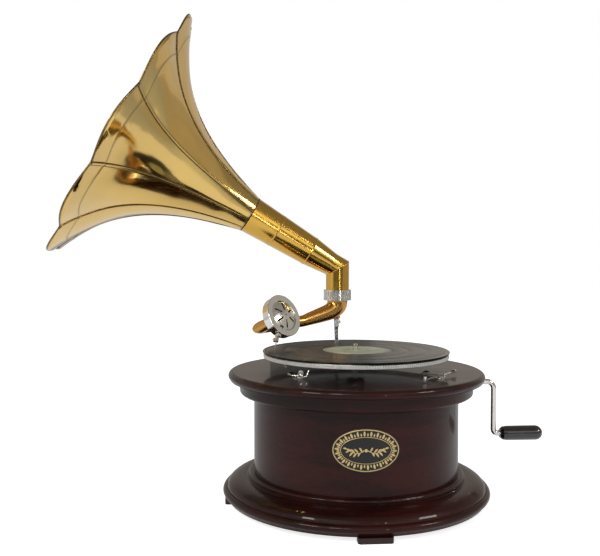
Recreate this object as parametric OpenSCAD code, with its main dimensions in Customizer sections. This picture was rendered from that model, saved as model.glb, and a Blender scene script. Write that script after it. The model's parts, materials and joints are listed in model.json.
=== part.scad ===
// Horn gramophone: a round mahogany cabinet with a spring motor inside, a turntable, a tone arm
// with its sound box, and a brass horn of ten petals on an elbow. Millimetres, +Z up, front at -Y.
// The origin lies on the turntable's axis, on the surface that the feet stand on.

/* [Cabinet] */
// Height of the block feet
foot_h = 7; // [4:0.5:12]
// Width of a foot, along the edge of the plinth
foot_w = 42; // [25:1:55]
// Depth of a foot, towards the middle
foot_d = 17; // [12:1:24]
// Rounding of a foot's upright edges
foot_round = 4; // [1:0.5:5]
// Widest radius of the plinth
plinth_r = 180; // [168:1:195]
// Height of the plinth
plinth_h = 34.2; // [30:0.2:44]
// Outer radius of the drum
drum_r = 138; // [130:1:142]
// Thickness of the drum's wall
drum_t = 9; // [7:0.5:11]
// Height of the drum between the plinth and the lid
drum_h = 105.2; // [95:0.2:140]
// How far the ring under the top board stands out past the drum
lid_overhang = 19.2; // [12:0.2:24]
// Height of the ring under the top board
lid_ring_h = 17.9; // [17:0.1:24]
// How far the top board stands out past the ring under it
board_overhang = 15.3; // [11.8:0.5:27.8]
// Thickness of the top board
board_t = 11.5; // [9:0.5:16]
// Thickness of the bottom panel
panel_t = 6; // [4:0.5:10]
// Width of the oval badge
badge_w = 82; // [50:1:100]
// Height of the oval badge
badge_h = 53; // [30:1:70]
// Thickness of the badge
badge_t = 1; // [0.6:0.1:2]
// Height of the badge's middle above the floor
badge_z = 99; // [80:1:110]
// Turn of the badge round the drum, from the front towards the crank
badge_turn = -2.6; // [-6:0.1:6]

/* [Turntable] */
// Radius of the record, a ten-inch one
record_r = 124.5; // [120:0.5:126.5]
// Thickness of the record
record_t = 2; // [1.5:0.1:3]
// Radius of the record's paper label
label_r = 44; // [35:1:50]
// How far the platter reaches past the record
platter_edge = 0.5; // [0.5:0.5:3.5]
// Height of the platter's rim
platter_rim_h = 5.8; // [5:0.2:9]
// Thickness of the platter's top
platter_t = 1.8; // [1.2:0.1:3]
// Room between the top board and the platter's rim
platter_gap = 18; // [16:0.5:26]
// Thickness of the felt mat
mat_t = 0.6; // [0.4:0.1:2]
// Radius of the spindle
spindle_r = 3.6; // [3:0.1:4]
// How much thinner the spindle's free end is, above the record
spindle_step = 0.3; // [0.2:0.05:0.6]
// Height of the spindle above the record
spindle_out = 9; // [6:0.5:15]

/* [Motor] */
// Gap between the top board and the motor's top plate
motor_drop = 23.3; // [22:0.1:30]
// Thickness of the motor plates
plate_t = 3; // [2:0.5:4]
// Height between the motor plates
plate_gap = 59; // [58:0.5:64]
// Length of the motor plates
plate_l = 196; // [190:1:204]
// Width of the motor plates
plate_w = 128; // [122:1:134]
// Outer radius of the spring barrel
barrel_r = 33; // [30:0.5:33.5]
// Height of the spring barrel
barrel_h = 33; // [25:0.5:35]
// Distance from the spindle to the barrel's arbor
barrel_x = 62; // [62:1:62]
// Radius of the winding arbor
arbor_r = 5; // [4:0.2:6]
// Module of the great wheel and its pinion
great_mod = 1.5; // [1.5:0.1:1.5]
// Module of the second wheel and the spindle's pinion
second_mod = 1.2; // [1.2:0.1:1.2]
// Module of the crown wheel and the winding pinion
crown_mod = 1; // [1:0.1:1]
// Normal module of the governor's crossed helical pair
governor_mod = 0.8; // [0.8:0.1:0.8]

/* [Crank] */
// Height of the crank's shaft above the floor
crank_z = 157; // [156.5:0.1:157.5]
// Radius of the crank rod
crank_rod_r = 3.7; // [3:0.1:4]
// Distance of the crank's arm from the spindle
crank_reach = 192; // [184:1:200]
// Throw of the crank
crank_throw = 72; // [50:1:80]
// Length of the grip
grip_l = 60; // [45:1:75]
// Radius of the grip
grip_r = 10.1; // [8:0.1:12]

/* [Tone arm] */
// Sideways place of the arm's pivot
pivot_x = -8; // [-10:0.5:-6]
// Distance of the arm's pivot behind the spindle
pivot_y = 145; // [144:0.5:148]
// Direction of the arm, counted from +X
arm_turn = 205.3; // [200:0.1:210]
// Downward slope of the arm
arm_slope = 5.5; // [4:0.1:7]
// Length of the arm from the pivot to the crossing with the sound box axis
arm_l = 135.4; // [130:0.2:140]
// Radius of the arm at the ring
arm_r0 = 15.5; // [14:0.1:16]
// Radius of the arm along its straight run
arm_r1 = 8.65; // [8:0.05:9]
// Wall of the arm and the gooseneck
tube_t = 1; // [0.8:0.1:1.4]
// Distance from the pivot to the joint of the gooseneck
neck_joint = 88; // [84:1:92]
// Height of the ring's middle above the arm's own height at the pivot
ring_rise = 31.8; // [30:0.2:36]
// Outer radius of the ring
ring_r = 21.5; // [20.5:0.1:24]
// Height of the ring
ring_h = 16; // [14:0.5:20]

/* [Sound box] */
// Direction that the sound box faces, counted from +X
face_turn = -45.2; // [-48:0.1:-42]
// Upward tilt of the sound box's face
face_tilt = 23.2; // [20:0.1:26]
// Radius of the sound box
box_r = 31; // [29:0.2:33]
// Thickness of the sound box
box_t = 12.8; // [12:0.1:15]
// Length from the arm's line to the back of the sound box
box_reach = 42; // [38:0.5:46]
// Turn of the needle from straight down, in the plane of the face
needle_turn = 35.9; // [33:0.1:39]
// Distance from the middle of the sound box to the needle's tip
needle_reach = 54.8; // [52:0.2:58]
// Height of the needle's tip above the record
needle_gap = 0.3; // [0.2:0.1:1]

/* [Horn] */
// Direction of the horn, counted from +X
horn_turn = 185.9; // [180:0.1:192]
// Upward slope of the horn
horn_slope = 31; // [28:0.1:34]
// Height of the elbow's mitre above the ring's middle
elbow_rise = 41.5; // [36:0.5:48]
// Outer radius of the elbow's lower tube
elbow_r = 17.7; // [16.5:0.1:18]
// Length of the horn from the mitre to its mouth
horn_l = 373; // [340:1:400]
// Length of the elbow's upper tube
elbow_l = 50; // [40:1:60]
// Length from the mitre to the petals
neck_l = 157; // [140:1:165]
// Outer radius where the elbow meets the neck
neck_r0 = 22.4; // [21:0.1:23]
// Outer radius at the bead in the neck
neck_r1 = 25.2; // [24:0.1:26]
// Outer radius where the petals start
neck_r2 = 27.6; // [26.6:0.1:29]
// Number of petals
petals = 10; // [8:1:12]
// Radius of the mouth at the seams
mouth_r = 189; // [180:1:195]
// How many times the bell's plain taper widens, without the flare at the mouth
bell_widening = 5.88; // [4.6:0.01:6.2]
// Bulge of a petal between its seams, as a share of the radius
petal_bulge = 0.05; // [0.03:0.01:0.09]
// How far a petal's edge stands out past its seams, along the horn
scallop = 5; // [2:0.5:8]
// Thickness of the brass sheet
sheet_t = 0.8; // [0.6:0.1:1.2]
// Height of a folded seam
seam_h = 1.4; // [0.8:0.1:2]
// Width of a folded seam
seam_w = 4; // [3:0.5:6]

/* [Hidden] */
$fn = 64;

// Clearances
run_fit = 0.05;
rim_gap = 0.3;
cut = 1;

// Heights of the cabinet, from the floor up
plinth_top = foot_h + plinth_h;
drum_top = plinth_top + drum_h;
ring_top = drum_top + lid_ring_h;
board_top = ring_top + board_t;
cavity_r = drum_r - drum_t;
lid_ring_r = drum_r + lid_overhang;
board_r = lid_ring_r + board_overhang;
ledge_r = cavity_r - 6;
panel_r = ledge_r + 4;
feet_r = plinth_r - 3;
board_nose = board_t / 2;

// Heights of the turntable
platter_r = record_r + platter_edge;
spindle_tip_r = spindle_r - spindle_step;
rim_bottom = board_top + platter_gap;
platter_top = rim_bottom + platter_rim_h;
record_bottom = platter_top + mat_t;
record_top = record_bottom + record_t;
hub_r = 12;
hub_h = 11;

// Heights of the motor
plate_top_z = ring_top - motor_drop;
plate_low_z = plate_top_z - plate_t - plate_gap;
floor_z = plate_low_z;
pillar_r = 5;
pillar_x = plate_l / 2 - 10;
pillar_y = plate_w / 2 - 10;
bolt_r = 2.5;
bolt_x = 90;
bolt_y = 34;
spacer_r = 6;

// The gear train: teeth, pitch radii and places
great_teeth = 60;
pinion_teeth = 12;
great_r = great_mod * great_teeth / 2;
pinion_r = great_mod * pinion_teeth / 2;
second_teeth = 60;
spindle_teeth = 12;
second_r = second_mod * second_teeth / 2;
spindle_pinion_r = second_mod * spindle_teeth / 2;
mid_from_spindle = second_r + spindle_pinion_r;
mid_from_barrel = great_r + pinion_r;
mid_x = (pow(mid_from_spindle, 2) - pow(mid_from_barrel, 2) + pow(barrel_x, 2)) / (2 * barrel_x);
mid_y = sqrt(pow(mid_from_spindle, 2) - pow(mid_x, 2));
pressure = 25;
backlash = 0.16;
second_z = floor_z + 6;
second_h = 3.5;
great_z = floor_z + 18;
great_h = 4;
barrel_z = great_z + great_h;
gear_mid_turn = atan2(mid_y, mid_x);
great_mid_turn = atan2(mid_y, mid_x - barrel_x);

// The winding gears
crown_teeth = 36;
winding_teeth = 12;
crown_r = crown_mod * crown_teeth / 2;
winding_pitch_r = crown_mod * winding_teeth / 2;
crown_face = 4;
crown_h = 4;
crown_z = crank_z - winding_pitch_r - 1.2 * crown_mod - crown_h;
winding_end = barrel_x + crown_r + 24;

// The governor
wheel_teeth = 48;
worm_teeth = 6;
governor_mt = governor_mod * sqrt(2);
wheel_r = governor_mt * wheel_teeth / 2;
worm_r = governor_mt * worm_teeth / 2;
governor_y = -(wheel_r + worm_r);
governor_z = plate_top_z - plate_t - 18;
wheel_h = 5;
worm_l = 14;
governor_end = 13;
governor_start = -64;
disc_x = -25;
disc_r = 12;
weight_out = 9;
collar_x = -54;

// The governor's brake and the speed lever
brake_x = 80;
brake_y = -62;
lever_x = 103.4;
lever_y = -78.4;
lever_span = sqrt(pow(lever_x - brake_x, 2) + pow(lever_y - brake_y, 2));
lever_line = atan2(brake_y - lever_y, brake_x - lever_x);
finger_l = 12;
knob_l = 54.1;
tip_l = 27.7;
pad_away = 6;
lever_t = 1.2;
brake_arm_z = board_top + 1.6 + 0.3;
lever_z = brake_arm_z + lever_t + 0.3;

// The brake by the turntable
post_x = -79.9;
post_y = -74.6;
post_h = 11;
wire_r = 0.8;
eye_z = board_top + 7;

// The tone arm's own frame: x out along the arm, z up, the origin at the pivot's crossing
arm_dir = [cos(arm_slope) * cos(arm_turn), cos(arm_slope) * sin(arm_turn), -sin(arm_slope)];
face = [cos(face_tilt) * cos(face_turn), cos(face_tilt) * sin(face_turn), sin(face_tilt)];
face_side = [sin(face_turn), -cos(face_turn), 0];
face_up = cross(face_side, face);
needle_dir = sin(needle_turn) * face_side - cos(needle_turn) * face_up;
box_from_pivot = arm_l * arm_dir + (box_reach + box_t) * face;
tip_from_pivot = box_from_pivot + needle_reach * needle_dir - box_t / 2 * face;
arm_z = record_top + needle_gap - tip_from_pivot[2];
pivot = [pivot_x, pivot_y, arm_z];
box_at = pivot + box_from_pivot;
crossing = pivot + arm_l * arm_dir;
ring_z = arm_z + ring_rise;
ring_bore = elbow_r + run_fit;
joint_gap = 0.3;
bend_proud = 0.14;

// The horn
mitre_z = ring_z + elbow_rise;
bell_l = horn_l - neck_l;
bell_r0 = neck_r2 - sheet_t;
bell_flare = mouth_r - bell_r0 * bell_widening;
petal_span = 360 / petals;
seam_start = 38;
crease_at = 0.9;
crease_h = 0.9;
rows = [0, 0.1, 0.21, 0.33, 0.45, 0.56, 0.66, 0.75, 0.82, 0.875, crease_at, 0.93, 0.965, 1];
spread = [0.3, 0.5, 0.7, 0.88, 1];

module box(x, y, z) {
  translate([-x / 2, -y / 2, 0]) cube([x, y, z]);
}

module ring(outer, inner, h) {
  difference() {
    cylinder(r = outer, h = h);
    translate([0, 0, -cut]) cylinder(r = inner, h = h + 2 * cut);
  }
}

// A flat shape with rounded corners
module rounded(x, y, r) {
  square([x - 2 * r, y], center = true);
  square([x, y - 2 * r], center = true);
  for (sx = [-1, 1], sy = [-1, 1])
    translate([sx * (x / 2 - r), sy * (y / 2 - r)]) circle(r = r);
}

// A screw whose head stands on z = 0, with its shank below
module screw(head_r, head_h, shank_r, shank_l) {
  difference() {
    rotate_extrude() {
      intersection() {
        translate([0, head_h - 2 * head_r]) circle(r = 2 * head_r);
        square([head_r, head_h]);
      }
    }
    translate([0, 0, head_h]) cube([2.4 * head_r, head_r / 4, head_h], center = true);
  }
  translate([0, 0, -shank_l]) cylinder(r = shank_r, h = shank_l);
}

// One involute tooth's flank: the half angle at a radius, from the pitch point inwards and outwards
function involute(a) = tan(a) * 180 / PI - a;
function half_angle(teeth, r, rb, slack) =
  90 / teeth - slack + involute(pressure) - involute(acos(min(1, rb / max(r, rb))));
function tooth_radii(rp, rb, add, ded) =
  let (low = max(rp - ded, rb))
  [rp - ded, low + 0.01, (low + rp) / 2, rp, rp + add / 2, rp + add];
function tooth_points(teeth, rp, add, ded, slack) =
  let (rb = rp * cos(pressure), radii = tooth_radii(rp, rb, add, ded), last = len(radii) - 1)
  [for (t = [0:teeth - 1], side = [-1, 1], i = [0:last])
    let (k = side < 0 ? i : last - i, r = radii[k], a = t * 360 / teeth + side * half_angle(teeth, r, rb, slack))
    r * [cos(a), sin(a)]];

module gear(teeth, mod, h, bore, turn) {
  rp = teeth * mod / 2;
  slack = backlash / 2 / rp * 180 / PI;
  linear_extrude(height = h) difference() {
    rotate(turn) polygon(tooth_points(teeth, rp, 0.8 * mod, 1.15 * mod, slack));
    if (bore > 0) circle(r = bore);
  }
}

// A crown wheel, with its teeth standing up around z = h
module crown(teeth, mod, face_w, h, bore, turn) {
  rp = teeth * mod / 2;
  half_pitch = PI * mod / 4 - backlash;
  lean = tan(pressure) * mod;
  ring(rp + face_w / 2 + 1, bore, h);
  for (t = [0:teeth - 1])
    rotate(t * 360 / teeth + turn) translate([rp - face_w / 2, 0, h]) rotate([90, 0, 90])
      linear_extrude(height = face_w) polygon([
        [-half_pitch - 1.2 * lean, -0.2], [-half_pitch + 0.8 * lean, 2 * mod],
        [half_pitch - 0.8 * lean, 2 * mod], [half_pitch + 1.2 * lean, -0.2]]);
}

// A wheel of the crossed helical pair, both at 45 degrees and of the same hand
module helical(teeth, mt, h, turn, steps) {
  rp = teeth * mt / 2;
  tip = rp + 0.8 * governor_mod;
  root = rp - 1.1 * governor_mod;
  wide = 360 / teeth * 0.31;
  thin = 360 / teeth * 0.15;
  linear_extrude(height = h, twist = -h / rp * 180 / PI, slices = steps) rotate(turn)
    polygon([for (t = [0:teeth - 1], p = [[-wide, root], [-thin, tip], [thin, tip], [wide, root]])
      let (a = t * 360 / teeth + p[0]) p[1] * [cos(a), sin(a)]]);
}

// A skin over rings that each have the same number of points
module skin(rings) {
  sides = len(rings[0]);
  count = len(rings);
  walls = [for (i = [0:count - 2], k = [0:sides - 1])
    let (n = (k + 1) % sides, a = i * sides, b = a + sides)
    each [[a + k, b + n, b + k], [a + k, a + n, b + n]]];
  first = [for (k = [sides - 1:-1:0]) k];
  last = [for (k = [0:sides - 1]) (count - 1) * sides + k];
  polyhedron(points = [for (r = rings) each r], faces = concat(walls, [first], [last]));
}

// An upright ellipse through two points of the plane y = 0, with its own half width along y
function oval(inner, outer, half_w, sides) =
  [for (k = [0:sides - 1]) let (c = cos(360 * k / sides), w = sin(360 * k / sides))
    [(inner[0] * (1 + c) + outer[0] * (1 - c)) / 2, half_w * w, (inner[1] * (1 + c) + outer[1] * (1 - c)) / 2]];
// The same ellipse, made smaller by a wall
function shrink(inner, outer, wall) = inner + wall * unit(outer - inner);
function unit(v) = v / norm(v);

// A round wire along points, none of whose runs is upright
function run_at(path, i) = unit(path[min(i + 1, len(path) - 1)] - path[max(i - 1, 0)]);
function wire_ring(path, i, r, sides) =
  let (along = run_at(path, i), side = unit(cross(along, [0, 0, 1])), up = cross(side, along))
  [for (k = [0:sides - 1]) path[i] + r * (cos(360 * k / sides) * side + sin(360 * k / sides) * up)];
module bent_wire(path, r, sides) {
  skin([for (i = [0:len(path) - 1]) wire_ring(path, i, r, sides)]);
}

// A point of a cubic curve with four handles
function curve(p, t) =
  pow(1 - t, 3) * p[0] + 3 * t * pow(1 - t, 2) * p[1] + 3 * t * t * (1 - t) * p[2] + pow(t, 3) * p[3];

// Turns +Z to a direction
module aim(v) {
  rotate([0, acos(v[2] / norm(v)), atan2(v[1], v[0])]) children();
}

module feet() {
  color("#1b0c08")
    for (k = [0:3]) rotate(k * 90) translate([0, feet_r - foot_d / 2, 0])
      linear_extrude(height = foot_h) rounded(foot_w, foot_d, foot_round);
}

// The plinth's outline: a bead at the foot, a quirk, a broad ovolo, a step and a fine bead by the drum
module plinth_outline() {
  bead = 5;
  bead_z = 9.2;
  quirk_z = 13.5;
  ovolo_r = plinth_r - 5.5;
  ovolo_w = 23;
  ovolo_top = plinth_h - 7.2;
  fine = 3.2;
  steps = 12;
  polygon(concat(
    [[ledge_r, plinth_h - 1], [ledge_r, 0], [plinth_r - 6.3, 0], [plinth_r - 2.5, bead_z - 4],
      [plinth_r - bead, bead_z + bead], [ovolo_r - 0.8, quirk_z]],
    [for (i = [0:steps]) let (a = 90 * i / steps)
      [ovolo_r - ovolo_w + ovolo_w * cos(a), quirk_z + (ovolo_top - quirk_z) * sin(a)]],
    [[drum_r + 10, ovolo_top], [drum_r + 8.5, ovolo_top + 0.8], [drum_r + 8.5, plinth_h - 2 * fine + 2],
      [drum_r + 4, plinth_h - fine], [drum_r + 4, plinth_h], [drum_r, plinth_h], [drum_r, plinth_h - 1]]));
  translate([plinth_r - bead, bead_z]) circle(r = bead);
  translate([drum_r + 4, plinth_h - fine]) circle(r = fine);
  translate([ledge_r, plinth_h - 2]) square([drum_r - ledge_r + 1, 2]);
}

module plinth() {
  color("#3a120d") translate([0, 0, foot_h]) difference() {
    rotate_extrude($fn = 128) plinth_outline();
    translate([0, 0, -cut]) cylinder(r = panel_r, h = panel_t + cut);
    for (k = [0:3]) rotate(45 + 90 * k) translate([panel_r - 2, 0, 0]) cylinder(r = 1.5, h = 16);
  }
}

module bottom_panel() {
  color("#8a6a45") translate([0, 0, foot_h]) difference() {
    cylinder(r = panel_r - run_fit, h = panel_t);
    for (k = [0:3]) rotate(45 + 90 * k) translate([panel_r - 2, 0, -cut]) cylinder(r = 1.7, h = panel_t + 2 * cut);
  }
}

module drum_wall() {
  color("#4a1712") translate([0, 0, plinth_top]) ring(drum_r, cavity_r, drum_h, $fn = 128);
}

module lid_ring() {
  edge = 4;
  color("#3a120d") difference() {
    translate([0, 0, drum_top]) rotate_extrude($fn = 128) {
      translate([ledge_r, 0]) square([lid_ring_r - edge - ledge_r, lid_ring_h]);
      translate([ledge_r, edge]) square([lid_ring_r - ledge_r, lid_ring_h - edge]);
      translate([lid_ring_r - edge, edge]) circle(r = edge);
    }
    translate([ledge_r - 4, 0, crank_z]) rotate([0, 90, 0]) cylinder(r = bush_r, h = 60);
    translate([bush_seat, 0, crank_z]) rotate([0, 90, 0]) cylinder(r = bush_flange_r, h = 10);
  }
}
bush_r = crank_rod_r + 2;
bush_flange_r = bush_r + 1.3;
bush_seat = lid_ring_r - 0.6;

module top_board() {
  color("#3a120d") difference() {
    translate([0, 0, ring_top]) rotate_extrude($fn = 128) {
      square([board_r - board_nose, board_t]);
      square([board_r - 2.7, board_nose]);
      translate([board_r - board_nose, board_nose]) circle(r = board_nose);
    }
    translate([0, 0, ring_top - cut]) cylinder(r = spindle_r + 6, h = board_t + 2 * cut);
    for (sx = [-1, 1], sy = [-1, 1]) translate([sx * bolt_x, sy * bolt_y, ring_top - cut])
      cylinder(r = bolt_r, h = board_t + 2 * cut);
    translate([brake_x, brake_y, ring_top - cut]) cylinder(r = 2.6, h = board_t + 2 * cut);
    for (p = screw_places) translate([p[0], p[1], board_top - p[3]]) cylinder(r = p[4], h = p[3] + cut);
    translate([lever_x, lever_y, board_top - 8]) cylinder(r = 1.8, h = 8 + cut);
  }
}

// Screws in the board: place, height of the head's seat above the board, depth, shank radius
foot_y = pivot_y + 10;
bracket_t = 4;
speed_t = 1.6;
post_t = 1.4;
post_screw = 5.6;
screw_places = [
  [pivot_x - 13, foot_y, bracket_t, 8, 1.6], [pivot_x + 13, foot_y, bracket_t, 8, 1.6],
  [lever_x - 11, lever_y - 15, speed_t, 7, 1.2], [lever_x - 2, lever_y + 13, speed_t, 7, 1.2],
  [post_x - post_screw, post_y, post_t, 6, 1.1]
];

module wood_screws() {
  color("#c9c7c0") {
    for (p = screw_places) translate([p[0], p[1], board_top + p[2]])
      screw(2.1 * p[4], p[4], p[4] - 0.02, p[2] + p[3] - 0.5);
    for (k = [0:3]) rotate(45 + 90 * k) translate([panel_r - 2, 0, foot_h]) mirror([0, 0, 1])
      screw(3.2, 1.6, 1.45, 15);
  }
}

module badge_plate() {
  steps = 60;
  color("#15120f") intersection() {
    ring(drum_r + badge_t, drum_r, drum_top, $fn = 128);
    translate([0, 0, badge_z]) rotate([90, 0, badge_turn]) linear_extrude(height = drum_r + 10)
      polygon([for (a = [0:360 / steps:359]) [badge_w / 2 * cos(a), badge_h / 2 * sin(a)]]);
  }
}

module crank_bush() {
  flange = 2.6;
  color("#c9c7c0") translate([0, 0, crank_z]) rotate([0, 90, 0]) difference() {
    union() {
      translate([0, 0, ledge_r]) cylinder(r = bush_r, h = bush_seat - ledge_r + 0.1);
      translate([0, 0, bush_seat]) cylinder(r = bush_flange_r, h = flange);
    }
    cylinder(r = crank_rod_r + run_fit, h = lid_ring_r + 10);
  }
}

module motor_plate(z) {
  translate([0, 0, z]) difference() {
    linear_extrude(height = plate_t) rounded(plate_l, plate_w, 12);
    translate([0, 0, -cut]) cylinder(r = spindle_r + 3, h = plate_t + 2 * cut);
    translate([barrel_x, 0, -cut]) cylinder(r = arbor_r + run_fit, h = plate_t + 2 * cut);
    translate([mid_x, mid_y, -cut]) cylinder(r = 2 + run_fit, h = plate_t + 2 * cut);
    translate([brake_x, brake_y, -cut]) cylinder(r = 2 + run_fit, h = plate_t + 2 * cut);
  }
}

module motor_top_plate() {
  color("#8d8f90") difference() {
    motor_plate(plate_top_z - plate_t);
    for (sx = [-1, 1], sy = [-1, 1]) translate([sx * bolt_x, sy * bolt_y, plate_top_z - plate_t - cut])
      cylinder(r = bolt_r, h = plate_t + 2 * cut);
  }
}

module motor_bottom_plate() {
  color("#8d8f90") motor_plate(plate_low_z - plate_t);
}

module motor_pillars() {
  color("#8d8f90")
    for (sx = [-1, 1], sy = [-1, 1]) translate([sx * pillar_x, sy * pillar_y, plate_low_z])
      cylinder(r = pillar_r, h = plate_gap);
}

module motor_bolts() {
  color("#8d8f90")
    for (sx = [-1, 1], sy = [-1, 1]) translate([sx * bolt_x, sy * bolt_y, board_top]) {
      screw(5, 2.5, bolt_r - 0.02, board_t + motor_drop + plate_t + 5);
      translate([0, 0, -board_t - motor_drop - plate_t - 4]) ring(5, bolt_r - 0.3, 4);
    }
}

module motor_spacers() {
  color("#262626")
    for (sx = [-1, 1], sy = [-1, 1]) translate([sx * bolt_x, sy * bolt_y, plate_top_z])
      ring(spacer_r, bolt_r, motor_drop);
}

module motor_bearings() {
  color("#b08d3c") {
    // Bushes of the spindle in both plates
    for (z = [plate_top_z - plate_t, plate_low_z - plate_t]) translate([0, 0, z])
      ring(spindle_r + 3, spindle_r + run_fit, plate_t);
    // Bearing block of the winding shaft
    translate([winding_end - 16, 0, plate_top_z]) difference() {
      translate([-3, -7, 0]) cube([6, 14, crank_z - plate_top_z + 6]);
      translate([-10, 0, crank_z - plate_top_z]) rotate([0, 90, 0]) cylinder(r = 4 + run_fit, h = 20);
    }
    // Brackets of the governor's shaft
    for (x = [governor_start + 2, governor_end - 3])
      translate([x, governor_y, 0]) difference() {
        translate([-2, -5, governor_z - 5]) cube([4, 7.2, plate_top_z - plate_t - governor_z + 5]);
        translate([-5, 0, governor_z]) rotate([0, 90, 0]) cylinder(r = 1.2 + run_fit, h = 10);
      }
  }
}

module spring_barrel() {
  wall = 2;
  color("#a7a294") translate([barrel_x, 0, 0]) difference() {
    union() {
      translate([0, 0, great_z]) gear(great_teeth, great_mod, great_h, 0, great_turn);
      translate([0, 0, barrel_z - 0.5]) cylinder(r = barrel_r, h = barrel_h + 0.5);
    }
    translate([0, 0, barrel_z]) cylinder(r = barrel_r - wall, h = barrel_h + cut);
    translate([0, 0, great_z - cut]) cylinder(r = arbor_r + run_fit, h = great_h + 2 * cut);
  }
}
great_turn = great_mid_turn;

module barrel_cover() {
  color("#a7a294") translate([barrel_x, 0, barrel_z + barrel_h]) ring(barrel_r, arbor_r + run_fit, 2);
}

// The mainspring, let down: its coils lie against the barrel's wall
module mainspring() {
  turns = 7;
  steps = 20;
  strip = 0.9;
  pitch = 1.9;
  outer = barrel_r - 2 - 0.4;
  count = turns * steps;
  side = [for (i = [0:count]) let (a = i * 360 / steps, r = outer - pitch * i / steps) [a, r]];
  hook_r = arbor_r + 1.2;
  tail = [for (i = [1:8]) let (a = (count + i * 2) * 360 / steps, r = outer - pitch * turns - (outer - pitch * turns - hook_r) * i / 8) [a, r]];
  line = concat(side, tail);
  last = len(line) - 1;
  color("#5b6a72") translate([barrel_x, 0, barrel_z + 1]) linear_extrude(height = barrel_h - 2)
    polygon(concat(
      [for (i = [0:last]) line[i][1] * [cos(line[i][0]), sin(line[i][0])]],
      [for (i = [last:-1:0]) (line[i][1] - strip) * [cos(line[i][0]), sin(line[i][0])]]));
}

module winding_arbor() {
  color("#8d8f90") translate([barrel_x, 0, plate_low_z - plate_t])
    cylinder(r = arbor_r, h = crown_z + crown_h + 1 - plate_low_z + plate_t);
}

module crown_wheel() {
  color("#b08d3c") translate([barrel_x, 0, crown_z])
    crown(crown_teeth, crown_mod, crown_face, crown_h, arbor_r, 180 / crown_teeth);
}

module winding_shaft() {
  color("#8d8f90") difference() {
    union() {
      translate([barrel_x + crown_r - 3, 0, crank_z]) rotate([0, 90, 0]) rotate(90)
        gear(winding_teeth, crown_mod, 6, 0, 0);
      translate([barrel_x + crown_r + 2, 0, crank_z]) rotate([0, 90, 0])
        cylinder(r = 4, h = winding_end - barrel_x - crown_r - 2);
    }
    translate([winding_end - 8, 0, crank_z]) rotate([0, 90, 0]) cylinder(r = 2.5, h = 20);
  }
}

crank_bend = 10;
grip_bend = 6;
grip_start = crank_reach + grip_bend + 3;
grip_pin_r = 3;
grip_pin_end = grip_start + grip_l - 10;

module crank_rod() {
  low_z = crank_z - crank_throw;
  color("#c9c7c0") {
    // The thread that screws into the winding shaft
    translate([winding_end - 7.5, 0, crank_z]) rotate([0, 90, 0]) cylinder(r = 2.45, h = 8);
    translate([winding_end, 0, crank_z]) rotate([0, 90, 0])
      cylinder(r = crank_rod_r, h = crank_reach - crank_bend - winding_end);
    translate([crank_reach - crank_bend, 0, crank_z - crank_bend]) rotate([90, 0, 0])
      rotate_extrude(angle = 90) translate([crank_bend, 0]) circle(r = crank_rod_r);
    translate([crank_reach, 0, low_z + grip_bend])
      cylinder(r = crank_rod_r, h = crank_throw - crank_bend - grip_bend);
    translate([crank_reach + grip_bend, 0, low_z + grip_bend]) rotate([90, 0, 0]) rotate([0, 0, 180])
      rotate_extrude(angle = 90) translate([grip_bend, 0]) circle(r = crank_rod_r);
    translate([crank_reach + grip_bend, 0, low_z]) rotate([0, 90, 0])
      cylinder(r = crank_rod_r, h = grip_start - rim_gap - crank_reach - grip_bend);
    // The pin that the grip turns on
    translate([crank_reach + grip_bend, 0, low_z]) rotate([0, 90, 0])
      cylinder(r = grip_pin_r, h = grip_pin_end - crank_reach - grip_bend);
  }
}

// The grip, turned with a bevel at the crank's end and a round far end
module crank_grip() {
  color("#141414") translate([grip_start, 0, crank_z - crank_throw]) rotate([0, 90, 0]) difference() {
    rotate_extrude() {
      polygon([[0, 0], [grip_r - 4, 0], [grip_r - 1, 4], [grip_r - 0.2, 9], [grip_r, grip_l / 2],
        [grip_r, grip_l - grip_r], [0, grip_l - grip_r]]);
      intersection() {
        translate([0, grip_l - grip_r]) circle(r = grip_r);
        square([grip_r, grip_l]);
      }
    }
    translate([0, 0, -cut]) cylinder(r = grip_pin_r + run_fit, h = grip_pin_end - grip_start + rim_gap + cut);
  }
}

module intermediate_gear() {
  color("#b08d3c") translate([mid_x, mid_y, 0]) {
    translate([0, 0, plate_low_z - plate_t]) cylinder(r = 2, h = plate_gap + 2 * plate_t);
    translate([0, 0, second_z]) gear(second_teeth, second_mod, second_h, 0, second_turn);
    translate([0, 0, second_z + second_h - 0.01]) cylinder(r = 6.5, h = great_z - second_z - second_h - 2);
    translate([0, 0, great_z - 2.5]) gear(pinion_teeth, great_mod, great_h + 5, 0, pinion_turn);
  }
}
// At rest a tooth of each wheel points along the line of centres, into a gap of its pinion
second_turn = gear_mid_turn + 180;
pinion_turn = great_mid_turn + 180 + 180 / pinion_teeth;

module spindle() {
  point = 2;
  color("#c9c7c0") {
    translate([0, 0, plate_low_z - plate_t]) cylinder(r = spindle_r, h = record_top - plate_low_z + plate_t);
    translate([0, 0, record_top - 0.01]) cylinder(r = spindle_tip_r, h = spindle_out - point + 0.01);
    translate([0, 0, record_top + spindle_out - point]) cylinder(r1 = spindle_tip_r, r2 = spindle_tip_r - 1.2, h = point);
    translate([0, 0, second_z - 1.5])
      gear(spindle_teeth, second_mod, second_h + 3, 0, gear_mid_turn + 180 / spindle_teeth);
  }
}

module spindle_wheel() {
  color("#b08d3c") translate([0, 0, governor_z - wheel_h / 2]) difference() {
    union() {
      helical(wheel_teeth, governor_mt, wheel_h, wheel_turn, 2);
      translate([0, 0, -4]) cylinder(r = 9, h = wheel_h + 8);
    }
    translate([0, 0, -8]) cylinder(r = spindle_r, h = wheel_h + 16);
  }
}
wheel_turn = -90 - wheel_h / 2 / wheel_r * 180 / PI;

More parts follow.
